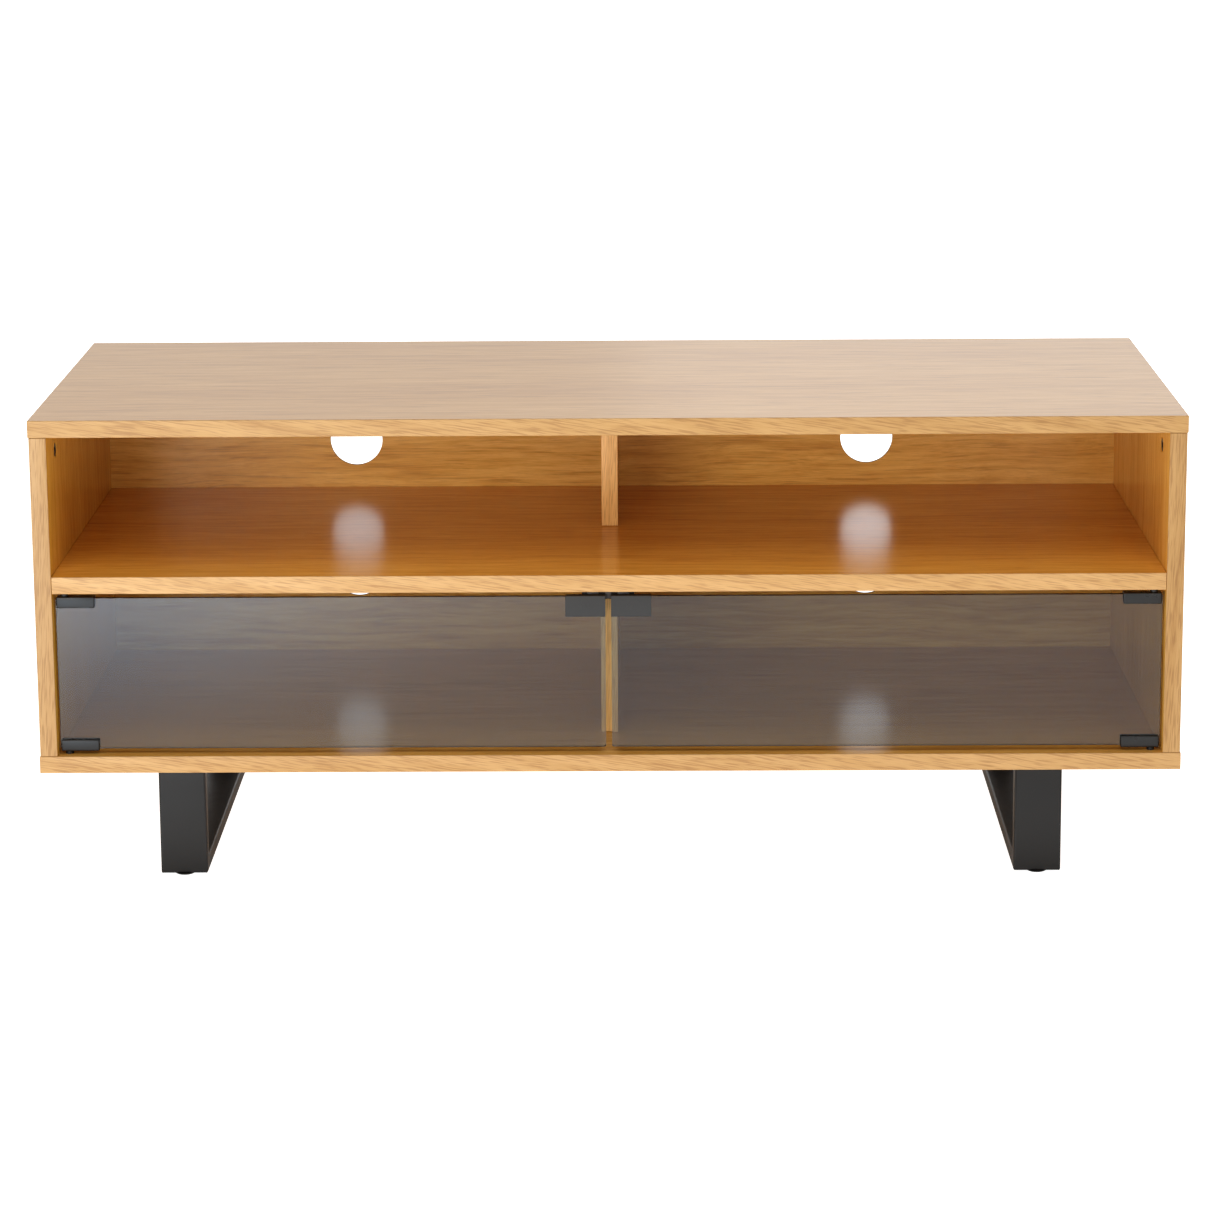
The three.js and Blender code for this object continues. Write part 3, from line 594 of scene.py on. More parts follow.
def pale_floor():
    """A white floor that glows a little, less ahead of the right door, more and cooler ahead of the left."""
    n = Nodes("studio_floor")
    place = n.place()
    speck = n.noise(n.mapped(place, (6, 6, 6)), detail=3)
    colour = n.ramp(speck, ((0.3, (0.86, 0.86, 0.86)), (0.7, (0.89, 0.89, 0.89))))
    axes = n.node("ShaderNodeSeparateXYZ", {0: place}).outputs
    ahead_right = n.math("MULTIPLY", n.span(axes["X"], -0.6, 0.8), n.span(axes["Y"], 0.1, -0.7))
    base = n.math("SUBTRACT", FLOOR_LIGHT, n.math("MULTIPLY", ahead_right, FLOOR_DIM_AHEAD_RIGHT))
    under = n.math("MULTIPLY", n.span(n.math("ABSOLUTE", axes["X"]), 0.72, 0.50),
                   n.span(n.math("ABSOLUTE", axes["Y"]), 0.32, 0.18))
    gap = {0: place, 1: GLOW_PLACE}
    distance = n.node("ShaderNodeVectorMath", gap, operation="DISTANCE").outputs["Value"]
    fade = {"Value": distance, "From Min": 0.0, "From Max": GLOW_REACH, "To Min": 1.0, "To Max": 0.0}
    glow = n.node("ShaderNodeMapRange", fade, interpolation_type="SMOOTHERSTEP").outputs["Result"]
    channels = [n.math("ADD", base, n.math("MULTIPLY", glow, amount)) for amount in GLOW_COLOUR]
    emission = n.node("ShaderNodeCombineColor", dict(enumerate(channels))).outputs[0]
    # The glow isn't seen straight through the panes, so that smoked glass looks smoked against the
    # floor, and the floor under the cabinet lights the legs no more than a shaded floor would.
    path = n.node("ShaderNodeLightPath").outputs
    straight = n.math("LESS_THAN", path["Glossy Depth"], 0.5)
    through_glass = n.math("MULTIPLY", path["Is Transmission Ray"], straight)
    seen = n.math("MULTIPLY", path["Is Camera Ray"], FLOOR_SHADE_UNDER)
    unseen = n.math("SUBTRACT", FLOOR_SHADE_UNDER, seen)
    shade = n.math("MULTIPLY", under, unseen)
    strength = n.math("MULTIPLY", n.math("SUBTRACT", 1.0, through_glass), n.math("SUBTRACT", 1.0, shade))
    n.shader(Base_Color=colour, Roughness=0.9, Emission_Color=emission, Emission_Strength=strength)
    return n.material


# The boards are one oak laminate, tinted apart as painted light and shade: the back is painted lighter, and
# the shelf, base and dividers more orange.
BACK_PAINTED_LIGHT = (1.33, 1.44, 1.19)
SHELF_PAINTED_LIGHT = (1.12, 1.03, 0.56)
BASE_PAINTED_LIGHT = (1.05, 1.02, 0.78)
TOP_OAK = oak("oak_top", "X", 1, roughness=0.32)
BASE_OAK = oak("oak_base", "X", 2, BASE_PAINTED_LIGHT)
SHELF_OAK = oak("oak_shelf", "X", 3, SHELF_PAINTED_LIGHT)
# The side boards' inner faces are painted brighter and more orange than the near-plain outer oak, each side
# its own way: painted light and shade.
INNER_SIDE_PAINTED_OAK = {
    "left": oak("oak_left_side", "Z", 4, (1.17, 1.17, 0.60)),
    "right": oak("oak_right_side", "Z", 5, (1.33, 1.34, 0.96)),
}
DIVIDER_OAK = oak("oak_divider", "Z", 6, BASE_PAINTED_LIGHT)
BACK_OAK = oak("oak_back", "X", 7, BACK_PAINTED_LIGHT, contrast=1.45)
OUTER_OAK = oak("oak_outer_side", "Z", 8, (1.0, 1.0, 0.95))
BACK_BOARD = fibreboard("fibreboard_rear")
# The edging is one banding, tinted apart per board as painted light and shade: darker on the top and
# uprights, much lighter on the dividers.
LONG_EDGE = {
    "top": edge_oak("edging_top", "X", SLANT, 1, (0.78, 0.74, 0.64)),
    "shelf": edge_oak("edging_shelf", "X", SLANT, 2, (0.90, 0.87, 0.82)),
    "base": edge_oak("edging_base", "X", SLANT, 3, (0.85, 0.82, 0.76)),
}
UPRIGHT_EDGE = {
    "left": edge_oak("edging_left", "Z", SLANT / 3, 4, (0.73, 0.70, 0.66)),
    "right": edge_oak("edging_right", "Z", SLANT / 3, 5, (0.74, 0.70, 0.61)),
    "divider": edge_oak("edging_divider", "Z", SLANT / 3, 6, (1.32, 1.30, 1.12)),
}
SHORT_EDGE = edge_oak("edging_short", "Y", SLANT, 7, (0.92, 0.90, 0.86))
SMOKED = smoked_glass("smoked_glass")
GROUND_EDGE = ground_glass("ground_glass_edge")
CLIP_BLACK = coated_metal("clip_black", (0.017, 0.0165, 0.016), 0.30, depth=0.006)
STRIKE_GREY = coated_metal("strike_grey", (0.034, 0.0325, 0.031), 0.45)
LEG_CHARCOAL = coated_metal("leg_charcoal", (0.009, 0.0082, 0.0076), 0.42, grain=900, depth=0.035)
ZINC = plated("zinc_plate", (0.55, 0.56, 0.57), 0.32)
# The cams' zinc is painted far darker than bare zinc: painted shade for the dark interior that their faces
# reflect.
CAM_SHADED_ZINC = plated("cam_zinc_painted_shade", (0.13, 0.13, 0.135), 0.42)
MAGNET_PLATE = plated("magnet_plate", (0.07, 0.07, 0.075), 0.45)
BLACK_PLASTIC = moulded("black_plastic", (0.018, 0.017, 0.016), 0.45)
GREY_PLASTIC = moulded("grey_plastic", (0.075, 0.070, 0.066), 0.42)


# -------- boards


def trimmed(low, high, edges):
    """The board without its edging on the named edges."""
    low, high = Vector(low), Vector(high)
    cuts = {
        "front": (low, 1, EDGING),
        "rear": (high, 1, -EDGING),
        "left": (low, 0, EDGING),
        "right": (high, 0, -EDGING),
    }
    for edge in edges:
        corner, axis, amount = cuts[edge]
        corner[axis] += amount
    return low, high


def board(name, node, low, high, edges, faces, edgings):
    """A board with a laminated core and a strip of edging on each named edge."""
    core_low, core_high = trimmed(low, high, edges)
    bm = bmesh.new()
    add_box(bm, core_low, core_high, BOARD_ROUND, 1)
    core = new_object(name, bm, faces, "cabinet", [node])
    for edge in edges:
        strip_low, strip_high = Vector(low), Vector(high)
        if edge == "front":
            strip_high.y = core_low.y
        elif edge == "rear":
            strip_low.y = core_high.y
        else:
            # The front and rear strips cover the ends of the short ones.
            strip_low.y, strip_high.y = core_low.y, core_high.y
            if edge == "left":
                strip_high.x = core_low.x
            else:
                strip_low.x = core_high.x
        strip = edging_strip(strip_low, strip_high, edge)
        new_object(f"{name}_{edge}_edging", strip, edgings[edge], "cabinet", smooth=40)
    return core


def edging_strip(low, high, edge):
    """A thin strip whose outer edges are rounded over."""
    bm = bmesh.new()
    add_box(bm, low, high)
    axis, value = {"front": (1, low.y), "rear": (1, high.y), "left": (0, low.x), "right": (0, high.x)}[edge]
    outer = [e for e in bm.edges if all(abs(v.co[axis] - value) < NEAR for v in e.verts)]
    bmesh.ops.bevel(bm, geom=outer, offset=EDGING_ROUND, segments=4, affect="EDGES", profile=0.5)
    return bm


def round_tool(holes):
    """A cutting tool from (place, axis, radius, depth) holes, each starting just outside its face."""
    bm = bmesh.new()
    for place, axis, radius, depth in holes:
        profile = [(0, -PAST), (radius, -PAST), (radius, depth), (0, depth)]
        add_lathe(bm, profile, along(axis, place), HOLE_SEGMENTS)
    return bm


def all_round(key):
    """The edgings of a board whose four edges show."""
    return {"front": LONG_EDGE[key], "rear": LONG_EDGE[key], "left": SHORT_EDGE, "right": SHORT_EDGE}


def bush_hole(side, level, face_z, axis, gap):
    """The hole for a pivot bush in the face at a height."""
    _, _, centre, radius = round_box(f"{side}_{level}_pivot_bush")
    return (centre.x, centre.y, face_z), axis, radius + gap / 2, BUSH_SEAT


def make_boards():
    """The carcass boards with their edging, and the holes for screws, bushes and cams."""
    top_low, top_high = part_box("top_panel")
    base_low, base_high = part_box("bottom_panel")
    shelf_low, shelf_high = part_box("middle_shelf")
    side_x = inside_x("right_side_panel")
    around = ("front", "rear", "left", "right")
    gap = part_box("left_side_panel")[0].z - base_high.z
    board("top_board", "top_panel", top_low, top_high, around, TOP_OAK, all_round("top"))
    base = board("base_board", "bottom_panel", base_low, base_high, around, BASE_OAK, all_round("base"))
    holes = []
    for side, _ in SIDES:
        for depth in DEPTHS:
            _, _, centre, radius = round_box(f"{side}_{depth}_base_screw")
            holes.append(((centre.x, centre.y, base_low.z), "Z", radius + gap, BASE_SCREW_SEAT))
        holes.append(bush_hole(side, "lower", base_high.z, "-Z", gap))
    cut_with(base, round_tool(holes))

    shelf_low.x, shelf_high.x = -side_x + gap, side_x - gap
    shelf = board("shelf_board", "middle_shelf", shelf_low, shelf_high, ("front",), SHELF_OAK,
                  {"front": LONG_EDGE["shelf"]})
    cut_with(shelf, round_tool([bush_hole(side, "upper", shelf_low.z, "Z", gap) for side, _ in SIDES]))

    for side, sign in SIDES:
        low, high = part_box(f"{side}_side_panel")
        edgings = {"front": UPRIGHT_EDGE[side], "rear": UPRIGHT_EDGE[side]}
        panel = board(f"{side}_side_board", f"{side}_side_panel", low, high, ("front", "rear"),
                      [INNER_SIDE_PAINTED_OAK[side], OUTER_OAK], edgings)
        # Inner faces take the side's painted-light tint, outer faces the near-plain oak.
        for face in panel.data.polygons:
            face.material_index = int(face.normal.x * sign > 0.5)
        holes = []
        for depth in DEPTHS:
            _, _, centre, radius = round_box(f"{side}_{depth}_cam_lock", axis=2)
            place = (sign * side_x, centre.y, centre.z)
            holes.append((place, "X" if sign > 0 else "-X", radius + gap, CAM_SEAT))
        cut_with(panel, round_tool(holes))

    for level, bottom, top in (("upper", shelf_high.z, top_low.z), ("lower", base_high.z, shelf_low.z)):
        low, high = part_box(f"{level}_divider")
        low.z, high.z = bottom + gap, top - gap
        board(f"{level}_divider_board", f"{level}_divider", low, high, ("front",), DIVIDER_OAK,
              {"front": UPRIGHT_EDGE["divider"]})


def make_back():
    """The thin back panel, faced in front and bare behind, with four cable holes."""
    low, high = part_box("back_panel")
    bm = bmesh.new()
    add_box(bm, low, high)
    back = new_object("back_board", bm, [BACK_OAK, BACK_BOARD], "cabinet", ["back_panel"])
    holes = []
    for opening in frame["record"]["physics"]["openings"]:
        if opening["name"].endswith("cable_hole"):
            (x0, _, z0), (x1, _, z1) = opening["box_m"]
            holes.append((((x0 + x1) / 2, low.y, (z0 + z1) / 2), "Y", CABLE_HOLE_RADIUS, BACK_CUT))
    cut_with(back, round_tool(holes))
    for face in back.data.polygons:
        if face.normal.y > -0.5:
            face.material_index = 1
    ease_edges(back, BACK_WORN, 30, 40)


# -------- carcass fastenings


def make_cam_locks():
    """The cams' drums, whose ends show in the side boards' inner faces, each with a cross slot."""
    for side, sign in SIDES:
        for depth in DEPTHS:
            node = f"{side}_{depth}_cam_lock"
            low, high, centre, radius = round_box(node, axis=2)
            face_x = min((low.x, high.x), key=abs)
            length = high.x - low.x
            matrix = along("X" if sign > 0 else "-X", (face_x, centre.y, centre.z))
            profile = [(0, CAM_FACE_SUNK), (radius - 2 * CAM_RIM, CAM_FACE_SUNK), (radius - 1.4 * CAM_RIM, 0)]
            profile += [(radius - CAM_RIM, 0), (radius, CAM_RIM), (radius, length), (0, length)]
            bm = bmesh.new()
            add_lathe(bm, profile, matrix)
            drum = new_object(f"{side}_{depth}_cam", bm, CAM_SHADED_ZINC, "cabinet", [node])
            tool = bmesh.new()
            add_cross(tool, CAM_SLOT_REACH, CAM_SLOT_HALF, 0.4 * MM, CAM_SLOT_DEPTH, matrix, turn=45)
            cut_with(drum, tool)
            shade_smooth(drum, 30)


def screw_head(bm, matrix, radius, height, socket, drive="hex"):
    """Adds a low head with a chamfered rim, and returns the tool that cuts its drive socket."""
    chamfer = min(height, radius) * HEAD_CHAMFER_SHARE
    profile = [(0, 0), (radius - chamfer, 0), (radius, chamfer), (radius, height), (0, height)]
    add_lathe(bm, profile, matrix)
    tool = bmesh.new()
    depth = height * SOCKET_DEPTH_SHARE
    if drive == "hex":
        add_prism(tool, polygon_outline(6, socket), depth + PAST, matrix @ Matrix.Translation((0, 0, -PAST)))
    else:
        add_cross(tool, socket, socket / 4, socket / 5, depth, matrix)
    return tool


def make_screws():
    """The base screws, leg screws and latch screws, seen from below by their heads."""
    kinds = [(f"{side}_{depth}_base_screw", *BASE_SCREW) for side, _ in SIDES for depth in DEPTHS]
    kinds += [(f"{side}_{depth}_leg_screw", *LEG_SCREW) for side, _ in SIDES for depth in DEPTHS]
    kinds += [(f"{depth}_latch_screw", *LATCH_SCREW) for depth in DEPTHS]
    for node, head, socket, drive in kinds:
        low, high, centre, radius = round_box(node)
        matrix = along("Z", (centre.x, centre.y, low.z))
        bm = bmesh.new()
        tool = screw_head(bm, matrix, radius, head, socket, drive)
        screw = new_object(f"{node}_turned", bm, ZINC, "cabinet", [node])
        cut_with(screw, tool)
        shade_smooth(screw, 30)
        shank = bmesh.new()
        add_thread(shank, matrix, head, high.z - low.z, radius * SHANK_SHARE)
        new_object(f"{node}_thread", shank, ZINC, "cabinet", smooth=40)


def add_thread(bm, matrix, start, end, radius):
    """Adds a shank with turned thread ridges down to a point."""
    depth = radius * THREAD_DEPTH_SHARE
    profile = [(0, start), (radius, start)]
    height = start + THREAD_PITCH
    while height < end - 2 * THREAD_PITCH:
        profile += [(radius - depth, height), (radius, height + THREAD_PITCH / 2)]
        height += THREAD_PITCH
    profile += [(radius - depth, height), (0, end)]
    add_lathe(bm, profile, matrix, 24)


# -------- doors


def make_doors():
    """Both doors: pane, two clips with their small parts, and a strike plate."""
    for side, _ in SIDES:
        body = f"{side}_door"
        node = f"{side}_door_glass"
        bm = bmesh.new()
        add_pane(bm, *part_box(node))
        new_object(f"{side}_pane", bm, [SMOKED, GROUND_EDGE], body, [node], smooth=20)
        for level in ("lower", "upper"):
            make_clip(side, level, body)
            make_pivot(side, level, body)
        make_strike(side, body)


def add_pane(bm, low, high):
    """Adds a pane with softly rounded corners and ground, polished arrises."""
    # Local X is world X, local Y is world -Z after the turn along Y.
    outline = rounded_outline((low.x, -high.z), (high.x, -low.z), PANE_CORNER, 5)
    add_prism(bm, outline, high.y - low.y, along("Y", (0, low.y, 0)))
    rims = [e for e in bm.edges if abs(e.verts[1].co.y - e.verts[0].co.y) < NEAR]
    bmesh.ops.bevel(bm, geom=rims, offset=PANE_ARRIS, segments=2, affect="EDGES", profile=0.5)
    bm.normal_update()
    for face in bm.faces:
        if abs(face.normal.y) < 0.95:
            face.material_index = 1


def make_clip(side, level, body):
    """A cast clip around the pane's corner, with its clamp screw and rubber pads."""
    node = f"{side}_{level}_hinge_clip"
    low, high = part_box(node)
    pane_low, pane_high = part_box(f"{side}_door_glass")
    upright = 1 if level == "lower" else -1
    open_z = high.z if upright > 0 else low.z
    pane_edge = pane_low.z if upright > 0 else pane_high.z
    bm = bmesh.new()
    add_box(bm, low, high, CLIP_ROUND, 4)
    clip = new_object(f"{side}_{level}_clip", bm, CLIP_BLACK, body, [node])
    tool = bmesh.new()
    slot_ends = sorted((pane_edge - SLACK * upright, open_z + PAST * upright))
    add_box(tool, (low.x - PAST, pane_low.y - SLACK, slot_ends[0]),
            (high.x + PAST, pane_high.y + SLACK, slot_ends[1]))
    grub_node = f"{side}_{level}_clamp_screw"
    _, _, screw_at, screw_radius = round_box(grub_node, axis=2)
    bore, mouth = screw_radius + GRUB_PLAY, screw_radius + GRUB_MOUTH[0]
    profile = [(0, -PAST), (mouth, -PAST), (bore, GRUB_MOUTH[1]), (bore, GRUB_HOLE_DEPTH)]
    profile.append((0, GRUB_HOLE_DEPTH))
    add_lathe(tool, profile, along("-Y", (screw_at.x, high.y, screw_at.z)), 32)
    cut_with(clip, tool)
    ease_edges(clip, CLIP_EDGE)

    # The grub screw that presses on the pane, with a hexagon socket.
    grub = bmesh.new()
    head_y = high.y - GRUB_SUNK
    length = head_y - pane_high.y - SLACK
    matrix = along("-Y", (screw_at.x, head_y, screw_at.z))
    tool = screw_head(grub, matrix, screw_radius, length, GRUB_SOCKET)
    screw = new_object(f"{side}_{level}_grub_screw", grub, ZINC, body, [grub_node])
    cut_with(screw, tool)
    shade_smooth(screw, 30)

    # Rubber pads fill the slack between the clip and the pane.
    pad_bottom, pad_top = sorted((pane_edge, open_z - upright * PAD_SHORT))
    for place, inner, outward in (("front", pane_low.y, -1), ("back", pane_high.y, 1)):
        pad_front, pad_back = sorted(inner + outward * gap for gap in PAD_FACES)
        pads = bmesh.new()
        add_box(pads, (low.x + PAD_INSET, pad_front, pad_bottom),
                (high.x - PAD_INSET, pad_back, pad_top), PAD_ROUND, 1)
        new_object(f"{side}_{level}_{place}_pad", pads, BLACK_PLASTIC, body)


def make_pivot(side, level, body):
    """The clip's pin and the bush that it turns in, whose collar stands on the board."""
    axis = "Z" if level == "lower" else "-Z"
    node = f"{side}_{level}_hinge_pin"
    low, high, centre, radius = round_box(node)
    length = high.z - low.z
    foot = low.z if level == "lower" else high.z
    profile = [(0, 0), (radius - PIN_POINT, 0), (radius, PIN_POINT), (radius, length - PIN_RIM)]
    profile += [(radius - PIN_RIM, length), (0, length)]
    pin = bmesh.new()
    add_lathe(pin, profile, along(axis, (centre.x, centre.y, foot)))
    new_object(f"{side}_{level}_pivot_pin", pin, ZINC, body, [node], smooth=30)

    node = f"{side}_{level}_pivot_bush"
    bore = radius + PIN_PLAY
    low, high, _, radius = round_box(node)
    length = high.z - low.z
    foot = low.z if level == "lower" else high.z
    profile = [(0, 0), (radius - BUSH_FOOT, 0), (radius, BUSH_FOOT), (radius, length - BUSH_RIM)]
    profile += [(radius - BUSH_RIM, length), (bore + PIN_RIM, length), (bore, length - PIN_RIM)]
    profile += [(bore, BUSH_FLOOR), (0, BUSH_FLOOR)]
    bush = bmesh.new()
    add_lathe(bush, profile, along(axis, (centre.x, centre.y, foot)))
    new_object(f"{side}_{level}_bush", bush, BLACK_PLASTIC, "cabinet", [node], smooth=30)


def make_strike(side, body):
    """A folded sheet over the pane's top corner, with a bend radius and three small plain ribs."""
    node = f"{side}_strike_plate"
    low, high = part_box(node)
    pane_low, pane_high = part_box(f"{side}_door_glass")
    front = (low.y, pane_low.y - SLACK)
    back = (pane_high.y + SLACK, high.y)
    top_inner = pane_high.z + SLACK
    outline = [(front[1], low.z), (front[0], low.z)]
    for centre_y, start in ((front[0] + STRIKE_BEND, 180), (back[1] - STRIKE_BEND, 90)):
        for step in range(7):
            angle = math.radians(start - 90 * step / 6)
            outline.append((centre_y + STRIKE_BEND * math.cos(angle),
                            high.z - STRIKE_BEND + STRIKE_BEND * math.sin(angle)))
    outline += [(back[1], low.z), (back[0], low.z), (back[0], top_inner), (front[1], top_inner)]
    # Local X, Y and Z become world Y, Z and X.
    turn = Matrix(((0, 0, 1, low.x), (1, 0, 0, 0), (0, 1, 0, 0), (0, 0, 0, 1)))
    bm = bmesh.new()
    add_prism(bm, outline, high.x - low.x, turn)
    plate = new_object(f"{side}_strike", bm, STRIKE_GREY, body, [node])
    ease_edges(plate, STRIKE_EDGE)
    ribs = bmesh.new()
    centre = (low + high) / 2
    half_x, half_z = RIB_HALF
    for step in (-1, 0, 1):
        x = centre.x + step * RIB_SPACING
        add_box(ribs, (x - half_x, low.y + RIB_FACES[0], centre.z - half_z),
                (x + half_x, low.y + RIB_FACES[1], centre.z + half_z), RIB_ROUND)
    new_object(f"{side}_strike_ribs", ribs, STRIKE_GREY, body, smooth=40)


# -------- latch


def make_latch():
    """The double push latch: its case, the strip on its front, the plungers and their springs."""
    low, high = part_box("latch_housing")
    bm = bmesh.new()
    add_box(bm, low, high, LATCH_ROUND, 3)
    case = new_object("latch_case", bm, BLACK_PLASTIC, "cabinet", ["latch_housing"])
    tool = bmesh.new()
    for side, _ in SIDES:
        plunger_low, plunger_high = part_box(f"{side}_latch_plunger")
        bore_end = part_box(f"{side}_latch_spring")[1].y + SLACK
        add_box(tool, (plunger_low.x - SLACK, low.y - PAST, plunger_low.z - SLACK),
                (plunger_high.x + SLACK, bore_end, plunger_high.z + SLACK), LATCH_BORE_ROUND)
    # A shallow groove runs back along the middle, between the two mechanisms.
    add_box(tool, (-LATCH_GROOVE_HALF, low.y - PAST, low.z - PAST),
            (LATCH_GROOVE_HALF, high.y - LATCH_GROOVE_STOP, low.z + LATCH_GROOVE_DEPTH))
    for depth in DEPTHS:
        _, _, centre, radius = round_box(f"{depth}_latch_screw")
        seat = radius + SLACK
        profile = [(0, -PAST), (seat, -PAST), (seat, LATCH_SCREW_SEAT), (0, LATCH_SCREW_SEAT)]
        add_lathe(tool, profile, along("Z", (centre.x, centre.y, low.z)), 40)
    cut_with(case, tool)
    ease_edges(case, LATCH_EDGE)
    # A paler strip stands on the case's front between the two mechanisms: a painted highlight where light
    # falls through the gap between the doors.
    strip = bmesh.new()
    add_box(strip, (-STRIP_HALF, low.y + STRIP_FACES[0], low.z + STRIP_INSET),
            (STRIP_HALF, low.y + STRIP_FACES[1], high.z - STRIP_INSET), STRIP_ROUND)
    new_object("latch_painted_highlight_strip", strip, GREY_PLASTIC, "cabinet", smooth=40)
    for side, _ in SIDES:
        make_plunger(side)
        make_spring(side)


def make_plunger(side):
    """A plunger with a steel-faced magnet in its head."""
    body = f"{side}_plunger"
    node = f"{side}_latch_plunger"
    low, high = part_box(node)
    bm = bmesh.new()
    add_box(bm, low, high, PLUNGER_ROUND, 3)
    new_object(f"{side}_plunger_body", bm, GREY_PLASTIC, body, [node], smooth=40)
    magnet = bmesh.new()
    add_box(magnet, (low.x + MAGNET_INSET, low.y + MAGNET_FACES[0], low.z + MAGNET_INSET),
            (high.x - MAGNET_INSET, low.y + MAGNET_FACES[1], high.z - MAGNET_INSET), MAGNET_ROUND)
    new_object(f"{side}_magnet", magnet, MAGNET_PLATE, body, smooth=40)


def make_spring(side):
    """The spring behind a plunger: wire wound along Y."""
    node, joint = f"{side}_latch_spring", f"{side}_latch_push"
    low, high, centre, radius = round_box(node)
    length = high.y - low.y
    steps, sides = 20, 8
    bm = bmesh.new()
    rings = []
    for index in range(SPRING_TURNS * steps + 1):
        share = index / (SPRING_TURNS * steps)
        turn = 2 * math.pi * SPRING_TURNS * share
        y = low.y + SPRING_WIRE + (length - 2 * SPRING_WIRE) * share
        ring = []
        for step in range(sides):
            angle = 2 * math.pi * step / sides
            reach = radius - SPRING_WIRE + SPRING_WIRE * math.cos(angle)
            place = (centre.x + reach * math.cos(turn), y + SPRING_WIRE * math.sin(angle),
                     centre.z + reach * math.sin(turn))
            ring.append(bm.verts.new(place))
        rings.append(ring)
    for first, second in zip(rings, rings[1:]):
        add_band(bm, first, second)
    bm.faces.new(rings[0])
    bm.faces.new(rings[-1])
    spring = new_object(f"{side}_coil_spring", bm, ZINC, "cabinet", [node], smooth=60)
    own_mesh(spring)


# -------- legs


def make_legs():
    """The two sled legs, each on two glides."""
    for side, _ in SIDES:
        node = f"{side}_leg_frame"
        bm = bmesh.new()
        add_tube_loop(bm, *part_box(node), LEG_BAR, LEG_ROUND)
        new_object(f"{side}_leg", bm, LEG_CHARCOAL, "cabinet", [node], smooth=35)
        for depth in DEPTHS:
            make_glide(side, depth)


def add_tube_loop(bm, low, high, bar, rounding):
    """A closed rectangular loop of tube with mitred corners and rounded long edges."""
    centre_x = (low.x + high.x) / 2
    half = (high.x - low.x) / 2
    section = rounded_outline((-half, -bar / 2), (half, bar / 2), rounding, 5)
    corners = [(low.y, low.z, -1, -1), (high.y, low.z, 1, -1), (high.y, high.z, 1, 1), (low.y, high.z, -1, 1)]
    rings = []
    for y, z, outward_y, outward_z in corners:
        ring = []
        for across, out in section:
            reach = bar / 2 - out
            ring.append(bm.verts.new((centre_x + across, y - outward_y * reach, z - outward_z * reach)))
        rings.append(ring)
    for first, second in zip(rings, rings[1:] + rings[:1]):
        add_band(bm, first, second)
    # The welded outer corners are ground to a small radius.
    mitres = [e for e in bm.edges if any(all(v in ring for v in e.verts) for ring in rings)]
    outer = [e for e in mitres if all(min(v.co[k] - low[k], high[k] - v.co[k]) < NEAR
                                      for v in e.verts for k in (1, 2))]
    bmesh.ops.bevel(bm, geom=outer, offset=LEG_CORNER, segments=4, affect="EDGES", profile=0.5)


def make_glide(side, depth):
    """A moulded dome under the tube, with a small flat where it rests."""
    node = f"{side}_{depth}_glide"
    low, high, centre, radius = round_box(node)
    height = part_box(f"{side}_leg_frame")[0].z - low.z
    flat = radius * GLIDE_FLAT_SHARE
    profile = [(0, 0), (flat, 0)]
    for step in range(1, 9):
        angle = math.radians(90 * step / 8)
        reach = flat + (radius - flat) * math.sin(angle)
        profile.append((reach, height * GLIDE_DOME_SHARE * (1 - math.cos(angle))))
    profile += [(radius, height), (GLIDE_STEM_RADIUS, height)]
    profile += [(GLIDE_STEM_RADIUS, high.z - low.z), (0, high.z - low.z)]
    bm = bmesh.new()
    add_lathe(bm, profile, along("Z", (centre.x, centre.y, low.z)))
    new_object(f"{side}_{depth}_foot", bm, BLACK_PLASTIC, "cabinet", [node], smooth=35)


# -------- studio


def make_camera():
    """The camera, where the photograph's stood."""
    data = bpy.data.cameras.new("camera")
    data.lens = CAMERA_LENS
    data.sensor_width = CAMERA_SENSOR
    data.shift_y = CAMERA_SHIFT
    data.clip_start, data.clip_end = 0.05, 100
    camera = bpy.data.objects.new("camera", data)
    bpy.context.scene.collection.objects.link(camera)
    turn = Matrix.Rotation(math.radians(CAMERA_TURN_LEFT), 4, "Z")
    tilt = Matrix.Rotation(math.radians(90 - CAMERA_TILT_DOWN), 4, "X")
    roll = Matrix.Rotation(math.radians(CAMERA_ROLL), 4, "Z")
    camera.matrix_world = Matrix.Translation(CAMERA_PLACE) @ turn @ tilt @ roll
    bpy.context.scene.camera = camera


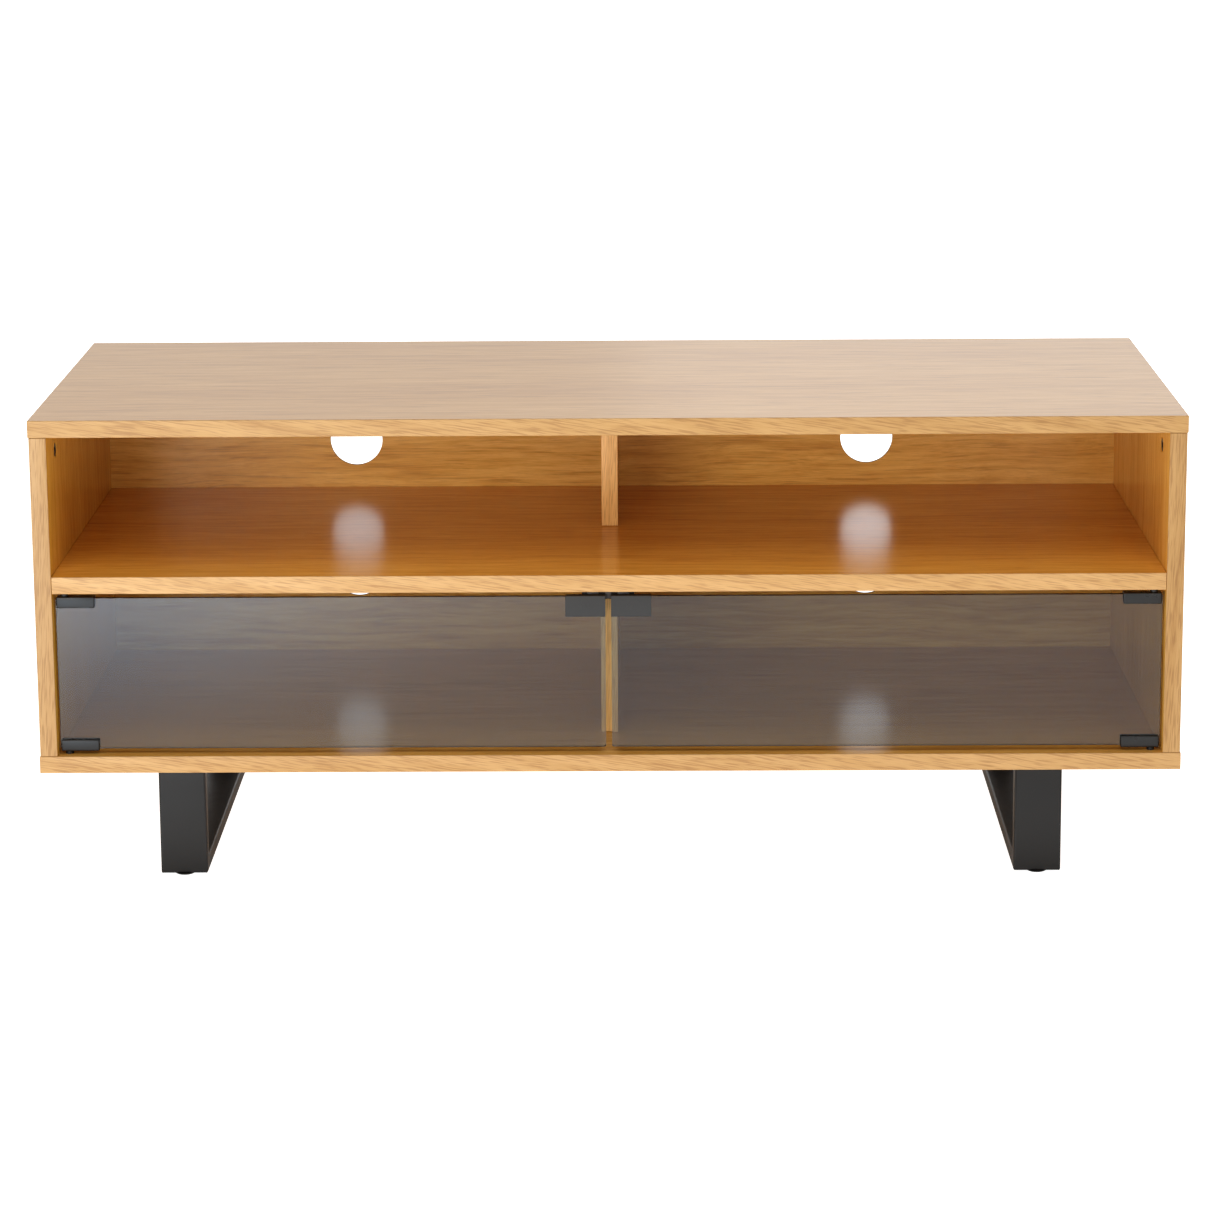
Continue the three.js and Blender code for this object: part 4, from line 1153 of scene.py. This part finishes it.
def area_light(name, place, target, size, power):
    """A white rectangular softbox that the camera doesn't see."""
    data = bpy.data.lights.new(name, "AREA")
    data.shape = "RECTANGLE"
    data.size, data.size_y = size
    data.energy = power
    light = bpy.data.objects.new(name, data)
    light.location = place
    light.rotation_euler = (Vector(target) - Vector(place)).to_track_quat("-Z", "Y").to_euler()
    light.visible_camera = False
    bpy.context.scene.collection.objects.link(light)


def make_studio():
    """The floor, the softboxes and the world."""
    floor = bmesh.new()
    bmesh.ops.create_grid(floor, x_segments=1, y_segments=1, size=FLOOR_HALF)
    mesh = bpy.data.meshes.new("studio_floor")
    floor.to_mesh(mesh)
    floor.free()
    mesh.materials.append(pale_floor())
    ground = bpy.data.objects.new("studio_floor", mesh)
    bpy.context.scene.collection.objects.link(ground)
    for softbox in SOFTBOXES:
        area_light(*softbox)
    world = bpy.data.worlds.new("studio")
    bpy.context.scene.world = world
    world.use_nodes = True
    tree = world.node_tree
    background = tree.nodes["Background"]
    background.inputs["Color"].default_value = (1, 1, 1, 1)
    # The wall behind looks white, and still throws only a little light.
    strength = tree.nodes.new("ShaderNodeMapRange")
    strength.inputs["To Min"].default_value = WORLD_LIGHT
    strength.inputs["To Max"].default_value = WORLD_SEEN
    tree.links.new(tree.nodes.new("ShaderNodeLightPath").outputs["Is Camera Ray"], strength.inputs["Value"])
    tree.links.new(strength.outputs["Result"], background.inputs["Strength"])
    bpy.context.scene.view_settings.view_transform = "Standard"
    bpy.context.scene.view_settings.look = "Medium High Contrast"


def clear_default_scene():
    """Removes all that isn't a CAD node."""
    for obj in list(bpy.context.scene.objects):
        if "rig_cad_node" not in obj and obj.type in ("MESH", "LIGHT", "CAMERA"):
            bpy.data.objects.remove(obj)


def paint_remaining_nodes():
    """CAD nodes that stay as they are get a finish of the right kind."""
    finish = {"zinc": ZINC, "black_metal": CLIP_BLACK, "black_plastic": BLACK_PLASTIC}
    slots = {part["node"]: part["material_slot"] for part in frame["record"]["subparts"]}
    for name, node in frame["nodes"].items():
        if node.hide_render:
            continue
        node.data.materials.clear()
        node.data.materials.append(finish.get(slots[name], ZINC))


clear_default_scene()
make_camera()
make_boards()
make_back()
make_cam_locks()
make_screws()
make_doors()
make_latch()
make_legs()
paint_remaining_nodes()
make_studio()
